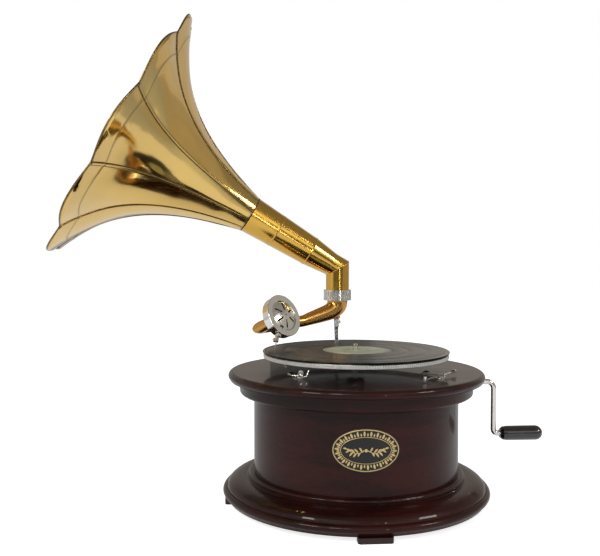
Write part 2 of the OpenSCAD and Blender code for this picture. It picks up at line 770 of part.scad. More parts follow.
module turntable() {
  wall = 2.2;
  color("#b9b6ad") translate([0, 0, rim_bottom]) difference() {
    rotate_extrude($fn = 128) {
      translate([spindle_r, platter_rim_h - platter_t]) square([platter_r - 1 - spindle_r, platter_t]);
      translate([platter_r - wall, 0]) square([wall, platter_rim_h - 1]);
      translate([platter_r - 1, platter_rim_h - 1]) circle(r = 1, $fn = 24);
      translate([platter_r - wall, platter_rim_h - 2]) square([wall - 1, 2]);
      translate([0, platter_rim_h - hub_h]) square([hub_r, hub_h - platter_t / 2]);
    }
    translate([0, 0, platter_rim_h - hub_h - cut]) cylinder(r = spindle_r, h = hub_h + 2 * cut);
  }
}

module turntable_mat() {
  color("#2f4a2c") translate([0, 0, platter_top]) ring(record_r - 2, spindle_r, mat_t);
}

module record() {
  groove = 0.3;
  color("#0d0d0e") translate([0, 0, record_bottom]) rotate_extrude($fn = 128) difference() {
    translate([spindle_r, 0]) square([record_r - spindle_r, record_t]);
    translate([label_r + 2, record_t - groove]) square([record_r - label_r - 7, groove + cut]);
    translate([record_r - 1, record_t - 0.4]) rotate(-25) square([4, 2]);
  }
}

module governor_shaft() {
  color("#8d8f90") translate([0, governor_y, governor_z]) {
    translate([governor_start, 0, 0]) rotate([0, 90, 0]) cylinder(r = 1.2, h = governor_end - governor_start);
    translate([governor_start + 6, 0, 0]) rotate([0, 90, 0]) cylinder(r = 1.6, h = governor_end - governor_start - 13);
    translate([-worm_l / 2, 0, 0]) rotate([0, 90, 0]) helical(worm_teeth, governor_mt, worm_l, worm_turn, 12);
    translate([collar_x, 0, 0]) rotate([0, 90, 0]) cylinder(r = 5, h = 5);
  }
}
worm_turn = 0;

module governor_disc() {
  color("#c9c7c0") translate([disc_x, governor_y, governor_z]) rotate([0, 90, 0]) {
    ring(disc_r, 1.6 + run_fit, 2);
    translate([0, 0, -7]) ring(4, 1.6 + run_fit, 7.5);
  }
}

module governor_weights() {
  color("#b08d3c") translate([0, governor_y, governor_z])
    for (k = [0:2]) rotate([k * 120, 0, 0]) {
      // The leaf spring, from the collar to the disc's sleeve
      translate([collar_x + 1, -2, 5]) cube([7, 4, 0.5]);
      translate([disc_x - 7, -2, 4]) cube([5, 4, 0.5]);
      translate([collar_x + 7.6, -2, 5]) rotate([0, -26, 0]) cube([8, 4, 0.5]);
      translate([disc_x - 6.6, -2, 4.25]) rotate([0, 206, 0]) translate([0, 0, -0.3]) cube([8.6, 4, 0.5]);
      translate([(collar_x + disc_x) / 2, 0, weight_out + 1.5]) rotate([0, 0, 0]) sphere(r = 4.6);
    }
}

// The governor's brake: a pad beside the disc's rim, on a shaft that the speed lever turns
module governor_brake() {
  pad_at = [disc_x + 1, governor_y - disc_r - pad_away];
  reach = pad_at - [0, 3] - [brake_x, brake_y];
  color("#8d8f90") {
    translate([brake_x, brake_y, governor_z - 3]) cylinder(r = 2, h = brake_arm_z + lever_t - governor_z + 3);
    translate([brake_x, brake_y, governor_z - 3]) cylinder(r = 4.5, h = 6);
    translate([brake_x, brake_y, governor_z - 1.5]) rotate(atan2(reach[1], reach[0]))
      translate([0, -2, 0]) cube([norm(reach), 4, 3]);
    translate([pad_at[0] - 1.5, pad_at[1] - 5, governor_z - 3.5]) cube([3, 5, 7]);
    // The arm above the board, with the slot that the lever's pin moves in
    translate([brake_x, brake_y, brake_arm_z]) rotate(lever_line + 180) difference() {
      union() {
        cylinder(r = 4, h = lever_t);
        translate([0, -3, 0]) cube([lever_span - finger_l + 4, 6, lever_t]);
      }
      translate([lever_span - finger_l - 2.2, -1.7, -cut]) cube([10, 3.4, lever_t + 2 * cut]);
    }
  }
}

module speed_plate() {
  color("#c9c7c0") translate([lever_x, lever_y, board_top]) rotate(atan2(28, 9)) difference() {
    translate([-2, 3.5, 0]) linear_extrude(height = speed_t) rounded(38, 11, 4);
    translate([0, 0, -cut]) cylinder(r = 1.8, h = speed_t + 2 * cut);
    for (p = [screw_places[2], screw_places[3]]) rotate(-atan2(28, 9))
      translate([p[0] - lever_x, p[1] - lever_y, -cut]) cylinder(r = p[4], h = speed_t + 2 * cut);
  }
}

module speed_lever() {
  knob = knob_l * [cos(229.6), sin(229.6)];
  tip = tip_l * [cos(45.3), sin(45.3)];
  color("#c9c7c0") translate([lever_x, lever_y, 0]) {
    translate([0, 0, board_top - 7.5]) cylinder(r = 1.8 - run_fit, h = lever_z + lever_t - board_top + 7.5 + 1.2);
    translate([0, 0, lever_z]) {
      cylinder(r = 4, h = lever_t);
      for (p = [knob, tip]) rotate(atan2(p[1], p[0])) translate([0, -1.8, 0]) cube([norm(p), 3.6, lever_t]);
      rotate(lever_line) translate([0, -2, 0]) cube([finger_l + 2, 4, lever_t]);
      translate([knob[0], knob[1], -1.6]) cylinder(r = 2.4, h = 6.4);
      rotate(atan2(tip[1], tip[0])) translate([norm(tip) - 6, -3, 0]) cube([2, 6, lever_t + 3]);
    }
    rotate(lever_line) translate([finger_l, 0, brake_arm_z - 0.2]) cylinder(r = 1.2, h = lever_z - brake_arm_z + 0.7);
  }
}

module brake_post() {
  color("#c9c7c0") translate([post_x, post_y, board_top]) rotate(-15) difference() {
    union() {
      translate([-post_screw - 3, -3, 0]) cube([post_screw + 6, 6, post_t]);
      translate([-2.6, -0.8, 0]) cube([5.2, 1.6, eye_z - board_top]);
      translate([0, 0.8, eye_z - board_top]) rotate([90, 0, 0]) cylinder(r = 3.4, h = 1.6);
    }
    translate([0, 5, eye_z - board_top]) rotate([90, 0, 0]) cylinder(r = wire_r + run_fit, h = 10);
    rotate(15) translate([-post_screw, 0, -cut]) cylinder(r = 1.1, h = 4);
  }
}

// The brake's bent wire: it turns in the post's eye, and its right end rises to the platter
module brake_wire() {
  axle = 6;
  right = [[0, -axle / 2 - 0.2, 0], [1.6, -axle / 2 - 1, -2.4], [4, -axle / 2 - 1.2, -4.4], [8, -axle / 2 - 0.8, -3.2],
    [10.4, -2, 4], [12, 0, 8.6]];
  left = [[0, axle / 2 + 0.2, 0], [-1.6, axle / 2 + 1, -2.4], [-4.6, axle / 2 + 1.2, -4.2], [-12, axle / 2 + 1.6, -4.2],
    [-15, 6, -3.6], [-17, 8, -2]];
  color("#c9c7c0") translate([post_x, post_y, eye_z]) rotate(-15) {
    rotate([90, 0, 0]) cylinder(r = wire_r, h = axle + 1, center = true);
    bent_wire(right, wire_r - 0.02, 8);
    bent_wire(left, wire_r - 0.02, 8);
  }
}

// The cast bracket: a foot on the board, a post that leans back, a lug under the arm and a hold on the ring
module arm_bracket() {
  lug_z = arm_z - 12;
  back = ring_r + 3;
  thick = 5;
  color("#c9c7c0") translate([pivot_x, pivot_y, 0]) {
    difference() {
      translate([0, foot_y - pivot_y, board_top]) linear_extrude(height = bracket_t) rounded(38, 15, 6);
      for (sx = [-1, 1]) translate([sx * 13, foot_y - pivot_y, board_top - cut])
        cylinder(r = 1.6, h = bracket_t + 2 * cut);
    }
    translate([-thick / 2, 0, 0]) rotate([90, 0, 90]) linear_extrude(height = thick) polygon([
      [5, board_top + bracket_t - 0.5], [15.5, board_top + bracket_t - 0.5], [13, board_top + 12],
      [13.5, board_top + 24], [back - 1, lug_z - 8], [back + 3, lug_z + 6], [back + 4, ring_z - 4],
      [back + 2.5, ring_z + 5], [ring_r - 1.5, ring_z + 5], [ring_r - 1.5, ring_z - 5], [back - 1, ring_z - 9],
      [back - 1.5, lug_z + 6], [back - 6, lug_z + 1], [14, lug_z + 4], [2, lug_z + 4], [2, lug_z], [8, lug_z - 2],
      [9, lug_z - 10], [8, board_top + 24], [7.5, board_top + 12]]);
    translate([0, 0, lug_z]) cylinder(r = 5, h = 4);
    // The pivot screw that carries the arm, with its nut
    translate([0, 0, lug_z - 3]) cylinder(r = 2, h = 3 + arm_z - boss_drop - rim_gap - lug_z);
    translate([0, 0, lug_z + 3.9]) cylinder(r = 3.4, h = 2);
    translate([0, 0, lug_z - 5]) cylinder(r = 3, h = 2.6);
  }
}
boss_drop = 4.6;

// The ring with its knurled band, and a ledge between the elbow above and the arm below
module horn_ring() {
  knurls = 30;
  color("#d5d3cc") translate([pivot_x, pivot_y, ring_z - ring_h / 2]) difference() {
    union() {
      cylinder(r = ring_r - 0.8, h = ring_h);
      for (k = [0:knurls - 1]) rotate((k + 0.5) * 360 / knurls)
        if (abs(((k + 0.5) * 360 / knurls) - 90) > 12)
          translate([ring_r - 1.5, 0, 1.4]) cylinder(r = 1.2, h = ring_h - 2.8, $fn = 16);
      translate([0, 0, ring_h - 2]) cylinder(r = ring_r, h = 1.4);
      translate([0, 0, 0.6]) cylinder(r = ring_r, h = 1.4);
    }
    translate([0, 0, -cut]) cylinder(r = ring_bore, h = ring_h + 2 * cut);
    translate([-3, ring_r - 1.5 - 0.001, -cut]) cube([6, 6, ring_h + 2 * cut]);
  }
}

// The arm's bend widens up into the ring. Its rings fan out between an inner and an outer edge line
function arm_point(x) = [x, -x * tan(arm_slope)];
arm_up = [sin(arm_slope), cos(arm_slope)];
arm_bend = 61;
arm_top = ring_rise - ring_h / 2;
bend_end = arm_point(arm_bend);
inner_edge = [[arm_r0, arm_top - 2], [arm_r0 + 1, arm_top - 7], [30, 15], bend_end + arm_r1 * arm_up];
outer_edge = [[-arm_r0, arm_top - 2], [-arm_r0, -6], [12, -6.5], bend_end - arm_r1 * arm_up];
arm_steps = 12;
arm_sides = 28;
function bend_ring(t, wall) =
  let (a = curve(inner_edge, t), b = curve(outer_edge, t), w = arm_r1 + (arm_r0 - arm_r1) * pow(1 - t, 1.25))
  oval(shrink(a, b, wall), shrink(b, a, wall), w - wall, arm_sides);

module arm_bend_solid(wall) {
  off = wall - bend_proud;
  top = [for (p = bend_ring(0, off)) p + [0, 0, wall > 0 ? 1 : 0.5]];
  tail = [for (p = bend_ring(1, off)) p + (wall > 0 ? 1 : 0) * [cos(arm_slope), 0, -sin(arm_slope)]];
  skin(concat([top], [for (i = [0:arm_steps - 1]) bend_ring(i / arm_steps, off)],
    wall > 0 ? [bend_ring(1, off), tail] : [tail]));
}

module along_arm() {
  rotate([0, 90 + arm_slope, 0]) children();
}

module tone_arm() {
  collar = ring_h / 2 - 0.4;
  run_from = arm_bend / cos(arm_slope) - 1;
  color("#b5812d") translate(pivot) rotate(arm_turn) difference() {
    union() {
      arm_bend_solid(0);
      translate([0, 0, arm_top - 1.9]) cylinder(r = arm_r0, h = 2.4);
      translate([0, 0, arm_top]) cylinder(r = elbow_r, h = collar);
      along_arm() translate([0, 0, run_from]) cylinder(r = arm_r1, h = neck_joint - run_from);
      translate([0, 0, -boss_drop]) cylinder(r = 4.2, h = 6);
    }
    arm_bend_solid(tube_t);
    translate([0, 0, arm_top - 1.4]) cylinder(r = arm_r0 - tube_t, h = collar + 5);
    along_arm() translate([0, 0, run_from]) cylinder(r = arm_r1 - tube_t, h = neck_joint);
  }
}

// The gooseneck: straight out of the arm, round a tight bend and back to the sound box
neck_turn = acos(arm_dir * face);
neck_normal = unit(cross(arm_dir, face));
neck_start = neck_joint + joint_gap;
neck_out_r = 7.2;
neck_in_r = 3;
neck_steps = 9;
neck_end_r = 7.9;
neck_plug = 10;
function neck_centre(r) = [-r * tan(neck_turn / 2), r];
function neck_round(r, a) = r * [sin(a), -cos(a)];
function neck_ring(a, wall) =
  let (inner = neck_centre(arm_r1 + neck_in_r) + neck_round(neck_in_r + wall, a),
       outer = neck_centre(neck_out_r - arm_r1) + neck_round(neck_out_r - wall, a))
  oval(inner, outer, arm_r1 - wall, arm_sides);
function neck_cross(at, dir, r) = oval(at + r * [-dir[1], dir[0]], at - r * [-dir[1], dir[0]], r, arm_sides);

module neck_solid(wall) {
  away = [cos(neck_turn), sin(neck_turn)];
  more = wall > 0 ? 1 : 0;
  off = wall - bend_proud;
  skin(concat(
    [neck_cross([neck_start - arm_l - more, 0], [1, 0], arm_r1 - off)],
    [for (i = [0:neck_steps]) neck_ring(neck_turn * i / neck_steps, off)],
    [neck_cross((box_reach - neck_plug + more) * away, away, neck_end_r - off)]));
}

// The neck's own frame: x along the arm, z across it towards the sound box, the origin where their lines cross
module in_neck() {
  up = cross(neck_normal, arm_dir);
  multmatrix([
    [arm_dir[0], -neck_normal[0], up[0], crossing[0]],
    [arm_dir[1], -neck_normal[1], up[1], crossing[1]],
    [arm_dir[2], -neck_normal[2], up[2], crossing[2]],
    [0, 0, 0, 1]
  ]) children();
}

module gooseneck() {
  spigot_r = arm_r1 - tube_t - run_fit;
  spigot = 12;
  color("#b5812d") {
    in_neck() difference() {
      neck_solid(0);
      neck_solid(tube_t);
    }
    translate(pivot + (neck_start - spigot) * arm_dir) aim(arm_dir) ring(spigot_r, spigot_r - 0.9, spigot + 2);
    translate(pivot + neck_start * arm_dir) aim(arm_dir) ring(arm_r1 + 0.9, spigot_r - 0.9, 3);
    translate(crossing + (box_reach - neck_plug - 1) * face) aim(face) ring(neck_end_r, neck_end_r - tube_t, neck_plug);
  }
}

// Places things in the sound box's frame: z out of the face, x along the needle's direction
module in_box() {
  other = cross(face, needle_dir);
  multmatrix([
    [needle_dir[0], other[0], face[0], box_at[0]],
    [needle_dir[1], other[1], face[1], box_at[1]],
    [needle_dir[2], other[2], face[2], box_at[2]],
    [0, 0, 0, 1]
  ]) children();
}

cover_h = 3;
box_wall = 2.4;
gasket_w = 3;

module soundbox_body() {
  boss = 7;
  color("#9a9a98") in_box() difference() {
    rotate_extrude() {
      translate([6, -box_t]) square([box_r - 0.8 - 6, 2.2]);
      translate([box_r - 0.8 - box_wall, -box_t]) square([box_wall, box_t - cover_h]);
      translate([neck_end_r + 0.2, -box_t - boss]) square([3, boss + 1]);
    }
    for (k = [0:2]) rotate(60 + 120 * k) translate([0, 0, -box_t - 0.1]) rotate_extrude()
      translate([box_r - 8, 0]) circle(r = 0.6, $fn = 16);
  }
}

module soundbox_gaskets() {
  outer = box_r - 0.8 - box_wall - 0.05;
  color("#7a1f1a") in_box() for (z = [-cover_h - 1.85, -cover_h - 4.2]) translate([0, 0, z])
    ring(outer, outer - gasket_w, 1.8);
}

module diaphragm() {
  color("#d8d2c0") in_box() translate([0, 0, -cover_h - 2.3]) cylinder(r = box_r - 0.8 - box_wall - 0.2, h = 0.35);
}

// The front cover: a flat ring, and a dome with six slots and a hole
module soundbox_cover() {
  inner = 23.5;
  rise = 3.5;
  edge = -2.2;
  skin = 1;
  ball = (inner * inner + pow(rise - edge, 2)) / (2 * (rise - edge));
  color("#cfcdc8") in_box() difference() {
    rotate_extrude($fn = 96) {
      translate([inner - 0.6, -cover_h]) square([box_r - inner + 0.6 - 0.8, cover_h]);
      translate([box_r - 1.2, -cover_h + 0.4]) square([1.2, cover_h - 0.8]);
      translate([box_r - 0.8, -0.8]) circle(r = 0.8, $fn = 24);
      intersection() {
        difference() {
          translate([0, rise - ball]) circle(r = ball, $fn = 256);
          translate([0, rise - ball]) circle(r = ball - skin, $fn = 256);
        }
        translate([0, edge - skin]) square([inner, rise - edge + 2 * skin]);
      }
    }
    for (k = [0:5]) rotate(30 + 60 * k) hull_slot(8.5, 17.5, 1.4);
    translate([0, 0, -4]) cylinder(r = 1.3, h = 12);
    // Where the needle bar passes under the ring
    translate([18, -3, -cover_h - cut]) cube([box_r, 6, cut + cover_h - 1]);
    translate([18, -3, -cover_h - cut]) cube([inner - 18 - 1.2, 6, cover_h + 3]);
  }
}

// A straight slot with round ends
module hull_slot(from, to, r) {
  translate([0, 0, -4]) linear_extrude(height = 12) {
    translate([from, -r]) square([to - from, 2 * r]);
    translate([from, 0]) circle(r = r);
    translate([to, 0]) circle(r = r);
  }
}

chuck_from = box_r + 0.6;
chuck_to = 43;

module needle_bar() {
  color("#c9c7c0") in_box() difference() {
    union() {
      translate([0, 0, -cover_h - 1.95]) cylinder(r = 1.3, h = 2.2);
      translate([0, -1.5, -cover_h + 0.1]) cube([box_r + 2, 3, 1.2]);
      translate([chuck_from, -2.6, -box_t / 2 - 2]) cube([4, 5.2, box_t / 2 - cover_h + 3.3]);
      translate([chuck_from, 0, -box_t / 2]) rotate([0, 90, 0]) cylinder(r = 2.9, h = chuck_to - chuck_from);
    }
    translate([chuck_to - 10, 0, -box_t / 2]) rotate([0, 90, 0]) cylinder(r = 0.8, h = 20);
    translate([chuck_to - 4.5, 0, -box_t / 2]) rotate([180, 0, 0]) cylinder(r = 1.2, h = 10);
  }
}

module needle_screw() {
  color("#c9c7c0") in_box() translate([chuck_to - 4.5, 0, -box_t / 2]) rotate([180, 0, 0]) {
    translate([0, 0, 0.85]) cylinder(r = 1.15, h = 4);
    translate([0, 0, 3.4]) cylinder(r = 3, h = 2.6);
  }
}

module needle() {
  point = 5;
  color("#c9c7c0") in_box() translate([chuck_to - 9.5, 0, -box_t / 2]) rotate([0, 90, 0]) {
    cylinder(r = 0.75, h = needle_reach - chuck_to + 9.5 - point);
    translate([0, 0, needle_reach - chuck_to + 9.5 - point]) cylinder(r1 = 0.75, r2 = 0.12, h = point);
  }
}

// The horn's frame: z along the horn, starting at the elbow's mitre
module in_horn() {
  translate([pivot_x, pivot_y, mitre_z]) rotate([0, 90 - horn_slope, horn_turn]) children();
}

// The mitre's plane halves the angle between the two tubes
mitre_tilt = (90 - horn_slope) / 2;
module in_mitre() {
  translate([pivot_x, pivot_y, mitre_z]) rotate([0, mitre_tilt, horn_turn]) children();
}

module mitre_side(side) {
  far = 200;
  in_mitre() translate([-far / 2, -far / 2, side > 0 ? 0.1 : -far - 0.1]) cube([far, far, far]);
}

module horn_elbow() {
  low_z = ring_z;
  elbow_t = sheet_t;
  straight = elbow_r * tan(mitre_tilt) + 2;
  solder = 0.35;
  color("#c9a23f") {
    intersection() {
      translate([pivot_x, pivot_y, low_z]) rotate(horn_turn) ring(elbow_r, elbow_r - elbow_t, mitre_z - low_z + 40);
      mitre_side(-1);
    }
    intersection() {
      in_horn() rotate_extrude() polygon([
        [elbow_r, -40], [elbow_r, straight], [neck_r0, elbow_l],
        [neck_r0 - elbow_t, elbow_l], [elbow_r - elbow_t, straight], [elbow_r - elbow_t, -40]]);
      mitre_side(1);
    }
    // The soldered seam along the mitre
    in_mitre() linear_extrude(height = 0.8, center = true) scale([1 / cos(mitre_tilt), 1]) difference() {
      circle(r = elbow_r + solder);
      circle(r = elbow_r - elbow_t - solder);
    }
  }
}

module horn_neck() {
  bead_at = 110;
  bead = 0.9;
  color("#c9a23f") in_horn() rotate_extrude() {
    polygon([
      [neck_r0 - sheet_t, elbow_l], [neck_r0, elbow_l], [neck_r1, bead_at], [neck_r2, neck_l],
      [neck_r2 - sheet_t, neck_l], [neck_r1 - sheet_t, bead_at]]);
    translate([neck_r1 - 0.3, bead_at]) circle(r = bead, $fn = 24);
    translate([neck_r0 - 0.1, elbow_l + 0.7]) circle(r = 0.7, $fn = 24);
  }
}

// The bell's radius at the seams, along its length, and the slope there
function bell_r(s) = bell_r0 * pow(bell_widening, s / bell_l) + bell_flare * pow(s / bell_l, 9);
function bell_slope(s) = (bell_r(s + 0.5) - bell_r(s - 0.5));
// Width across a petal at its middle, and the share of it that the seam takes
function seam_share(s) = min(0.3, (2 + (seam_w - 2) * s / bell_l) / (2 * PI * bell_r(s) / petals));
function petal_columns(s) = let (w = seam_share(s)) concat([0, w], [for (f = spread) w + 0.03 + (1 - w - 0.03) * (f - 0.3) / 0.7]);
// A point of a petal: row share, column share, and how far out of the inner face it lies
function petal_point(row, u, out) =
  let (wave = pow(abs(sin(180 * u)), 1.2),
       s = row * (bell_l + scallop * wave * pow(row, 6)),
       slope = row == 0 ? 0 : bell_slope(min(s, bell_l)),
       swell = 1 + petal_bulge * wave * min(1, row / 0.35),
       ridge = row == crease_at ? crease_h : 0,
       r = bell_r(min(s, bell_l)) * swell + (s > bell_l ? (s - bell_l) * 0.6 : 0) + ridge,
       lean = sqrt(1 + slope * slope),
       a = petal_span * u)
  [(r + out / lean) * cos(a), (r + out / lean) * sin(a), s - out * slope / lean];

module horn_petal(k) {
  columns = len(spread) + 2;
  last_row = len(rows) - 1;
  inner = [for (row = rows) let (us = petal_columns(row * bell_l)) for (u = us) petal_point(row, u, 0)];
  outer = [for (row = rows) let (us = petal_columns(row * bell_l)) for (c = [0:columns - 1])
    petal_point(row, us[c], c < 2 && row > 0 ? sheet_t + seam_h * min(1, row * 6) : sheet_t)];
  total = len(inner);
  skin = [for (i = [0:last_row - 1], c = [0:columns - 2])
    let (a = i * columns + c, b = a + columns)
    each [[a, b + 1, b], [a, a + 1, b + 1],
      [total + a, total + b, total + b + 1], [total + a, total + b + 1, total + a + 1]]];
  sides = [for (i = [0:last_row - 1])
    let (a = i * columns, b = a + columns, c = a + columns - 1, d = c + columns)
    each [[a, b, total + b], [a, total + b, total + a], [c, total + d, d], [c, total + c, total + d]]];
  ends = [for (c = [0:columns - 2])
    let (e = last_row * columns + c)
    each [[c, total + c, total + c + 1], [c, total + c + 1, c + 1],
      [e, total + e + 1, total + e], [e, e + 1, total + e + 1]]];
  color("#c9a23f") in_horn() translate([0, 0, neck_l]) mirror([1, 0, 0])
    rotate(seam_start + petal_span * (k - 1)) polyhedron(points = concat(inner, outer), faces = concat(skin, sides, ends));
}

feet();
plinth();
bottom_panel();
wood_screws();
drum_wall();
lid_ring();
top_board();
badge_plate();
crank_bush();
motor_top_plate();
motor_bottom_plate();
motor_pillars();
motor_bolts();
motor_spacers();
motor_bearings();
spring_barrel();
barrel_cover();
mainspring();
winding_arbor();
crown_wheel();
intermediate_gear();
spindle();
spindle_wheel();
turntable();
turntable_mat();
record();
governor_shaft();
governor_disc();
governor_weights();
governor_brake();
speed_plate();
speed_lever();
brake_post();
brake_wire();
winding_shaft();
crank_rod();
crank_grip();
arm_bracket();
horn_ring();
tone_arm();
gooseneck();
soundbox_body();
soundbox_gaskets();
diaphragm();
soundbox_cover();
needle_bar();
needle_screw();
needle();
horn_elbow();
horn_neck();
horn_petal(1);  // horn_petal_1
horn_petal(2);  // horn_petal_2
horn_petal(3);  // horn_petal_3
horn_petal(4);  // horn_petal_4
horn_petal(5);  // horn_petal_5
horn_petal(6);  // horn_petal_6
horn_petal(7);  // horn_petal_7
horn_petal(8);  // horn_petal_8
horn_petal(9);  // horn_petal_9
horn_petal(10);  // horn_petal_10
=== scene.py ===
"""Dresses the horn gramophone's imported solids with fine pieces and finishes, a plain stage and a camera."""

import json
import math

import bpy
from bpy.props import FloatProperty, FloatVectorProperty, IntProperty, PointerProperty
from mathutils import Matrix, Vector, noise

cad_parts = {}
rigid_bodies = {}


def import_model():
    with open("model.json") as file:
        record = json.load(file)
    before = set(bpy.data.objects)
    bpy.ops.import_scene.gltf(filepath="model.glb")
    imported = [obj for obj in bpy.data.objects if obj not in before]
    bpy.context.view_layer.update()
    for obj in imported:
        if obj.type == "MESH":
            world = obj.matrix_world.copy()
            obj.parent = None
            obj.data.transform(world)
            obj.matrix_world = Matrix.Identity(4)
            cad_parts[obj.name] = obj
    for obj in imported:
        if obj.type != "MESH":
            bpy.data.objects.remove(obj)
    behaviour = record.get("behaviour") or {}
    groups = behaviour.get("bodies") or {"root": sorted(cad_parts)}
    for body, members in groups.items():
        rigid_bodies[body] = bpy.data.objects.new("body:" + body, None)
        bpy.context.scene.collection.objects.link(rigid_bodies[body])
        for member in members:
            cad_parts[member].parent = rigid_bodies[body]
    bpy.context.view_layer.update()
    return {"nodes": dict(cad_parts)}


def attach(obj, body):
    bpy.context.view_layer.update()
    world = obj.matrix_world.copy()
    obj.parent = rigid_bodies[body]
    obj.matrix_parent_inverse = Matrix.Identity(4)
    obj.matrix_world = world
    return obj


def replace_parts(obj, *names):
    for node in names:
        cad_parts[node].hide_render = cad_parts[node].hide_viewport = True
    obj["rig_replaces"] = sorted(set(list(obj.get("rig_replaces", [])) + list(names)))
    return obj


bl_info = {
    "name": "Horn gramophone",
    "version": (1, 0, 0),
    "blender": (4, 5, 0),
    "location": "3D View > Sidebar > Gramophone",
    "description": "Makes the fine pieces, finishes and stage of a horn gramophone",
    "category": "Object",
}

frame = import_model()
MM = 0.001


# ---- sizes that the solids share, in millimetres

ARM_TURN, ARM_SLOPE, ARM_L = math.radians(205.3), math.radians(5.5), 135.4
FACE_TURN, FACE_TILT = math.radians(-45.2), math.radians(23.2)
NEEDLE_TURN, NEEDLE_REACH, NEEDLE_GAP = math.radians(35.9), 54.8, 0.3
BOX_T, BOX_REACH = 12.8, 42.0
PIVOT_X, PIVOT_Y = -8.0, 145.0
RING_RISE, RING_H, ELBOW_RISE = 31.8, 16.0, 41.5
ARM_R0, ARM_R1, TUBE_T = 15.5, 8.65, 1.0
NECK_JOINT, JOINT_GAP = 88.0, 0.3
NECK_OUT_R, NECK_IN_R, NECK_END_R = 7.2, 3.0, 7.9
ELBOW_R, ELBOW_L = 17.7, 50.0
HORN_SLOPE, HORN_TURN, HORN_L, NECK_L = 31.0, 185.9, 373.0, 157.0
NECK_R0, NECK_R1, NECK_R2, BEAD_AT = 22.4, 25.2, 27.6, 110.0
PETALS, MOUTH_R, BELL_WIDENING, PETAL_BULGE, SCALLOP = 10, 189.0, 5.88, 0.05, 5.0
SHEET_T, SEAM_H, SEAM_W, SEAM_START = 0.8, 1.4, 4.0, 38.0
PLATTER_BOTTOM, PLATTER_H, PLATTER_R = 193.8, 5.8, 125.0
RECORD_R, RECORD_BOTTOM, RECORD_T, LABEL_R = 124.5, 200.2, 2.0, 44.0
SPINDLE_R = 3.6
DRUM_R, BADGE_W, BADGE_H, BADGE_T, BADGE_Z = 138.0, 82.0, 53.0, 1.0, 99.0
BADGE_TURN = math.radians(-2.6)

BELL_L = HORN_L - NECK_L
BELL_R0 = NECK_R2 - SHEET_T
BELL_FLARE = MOUTH_R - BELL_R0 * BELL_WIDENING
PETAL_TURN = 360 / PETALS
RECORD_TOP = RECORD_BOTTOM + RECORD_T


def direction(slope, turn):
    """A unit vector that rises by slope, turned from +X."""
    return Vector((math.cos(slope) * math.cos(turn), math.cos(slope) * math.sin(turn), math.sin(slope)))


ARM_DIR = direction(-ARM_SLOPE, ARM_TURN)
FACE = direction(FACE_TILT, FACE_TURN)
FACE_SIDE = Vector((math.sin(FACE_TURN), -math.cos(FACE_TURN), 0))
NEEDLE_DIR = math.sin(NEEDLE_TURN) * FACE_SIDE - math.cos(NEEDLE_TURN) * FACE_SIDE.cross(FACE)
BOX_FROM_PIVOT = ARM_L * ARM_DIR + (BOX_REACH + BOX_T) * FACE
TIP_FROM_PIVOT = BOX_FROM_PIVOT + NEEDLE_REACH * NEEDLE_DIR - BOX_T / 2 * FACE
ARM_Z = RECORD_TOP + NEEDLE_GAP - TIP_FROM_PIVOT.z
RING_Z = ARM_Z + RING_RISE
MITRE_Z = RING_Z + ELBOW_RISE
MITRE_TILT = math.radians((90 - HORN_SLOPE) / 2)
PIVOT = Vector((PIVOT_X, PIVOT_Y, ARM_Z))
CROSSING = PIVOT + ARM_L * ARM_DIR


def axes(x, y, z, place):
    """A frame with these three axes at a place."""
    return Matrix.Translation(place) @ Matrix((x, y, z)).transposed().to_4x4()


# The frames of the elbow's two tubes, the tone arm and the gooseneck
LOW_FRAME = Matrix.Translation((PIVOT_X, PIVOT_Y, MITRE_Z)) @ Matrix.Rotation(math.radians(HORN_TURN), 4, "Z")
HORN_FRAME = LOW_FRAME @ Matrix.Rotation(math.radians(90 - HORN_SLOPE), 4, "Y")
ARM_FRAME = Matrix.Translation(PIVOT) @ Matrix.Rotation(ARM_TURN, 4, "Z")
NECK_TURN = math.acos(ARM_DIR.dot(FACE))
NECK_NORMAL = ARM_DIR.cross(FACE).normalized()
NECK_FRAME = axes(ARM_DIR, -NECK_NORMAL, NECK_NORMAL.cross(ARM_DIR), CROSSING)


# ---- sizes and colours that a user would change

def colour(name, description, value):
    return FloatVectorProperty(
        name=name, description=description, subtype="COLOR", size=3, min=0, max=1, default=value)


def length(name, description, value, least, most):
    return FloatProperty(name=name, description=description, default=value, min=least, max=most, unit="LENGTH")


def number(name, description, value, least, most):
    return IntProperty(name=name, description=description, default=value, min=least, max=most)


class HornLooks(bpy.types.PropertyGroup):
    """The horn, the elbow and the tone arm."""

    brass: colour("Horn brass", "Colour of the lacquered sheet of the bell", (0.88, 0.605, 0.19))
    deep_brass: colour("Neck brass", "Colour of the neck and the elbow", (0.78, 0.47, 0.085))
    arm_brass: colour("Arm brass", "Colour of the tone arm's cast brass", (0.62, 0.335, 0.085))
    # The tarnish colour also serves as painted shade along the petals' crease and rolled rim.
    tarnish_and_shade: colour("Tarnish", "Colour of the solder lines and folded edges", (0.05, 0.025, 0.008))
    waviness: length("Waviness", "How far the hand-beaten sheet waves in and out", 0.00035, 0, 0.002)


class CabinetLooks(bpy.types.PropertyGroup):
    """The wooden cabinet and its badge."""

    dark_wood: colour("Dark wood", "Darkest colour of the stained wood", (0.012, 0.0022, 0.0018))
    red_wood: colour("Red wood", "Reddest colour of the stained wood", (0.05, 0.008, 0.0055))
    badge: colour("Badge", "Ground colour of the badge", (0.006, 0.005, 0.005))
    badge_line: colour("Badge lines", "Colour of the badge's raised lines", (0.72, 0.55, 0.25))
    line: length("Badge line", "Width of the badge's raised line", 0.0011, 0.0003, 0.003)


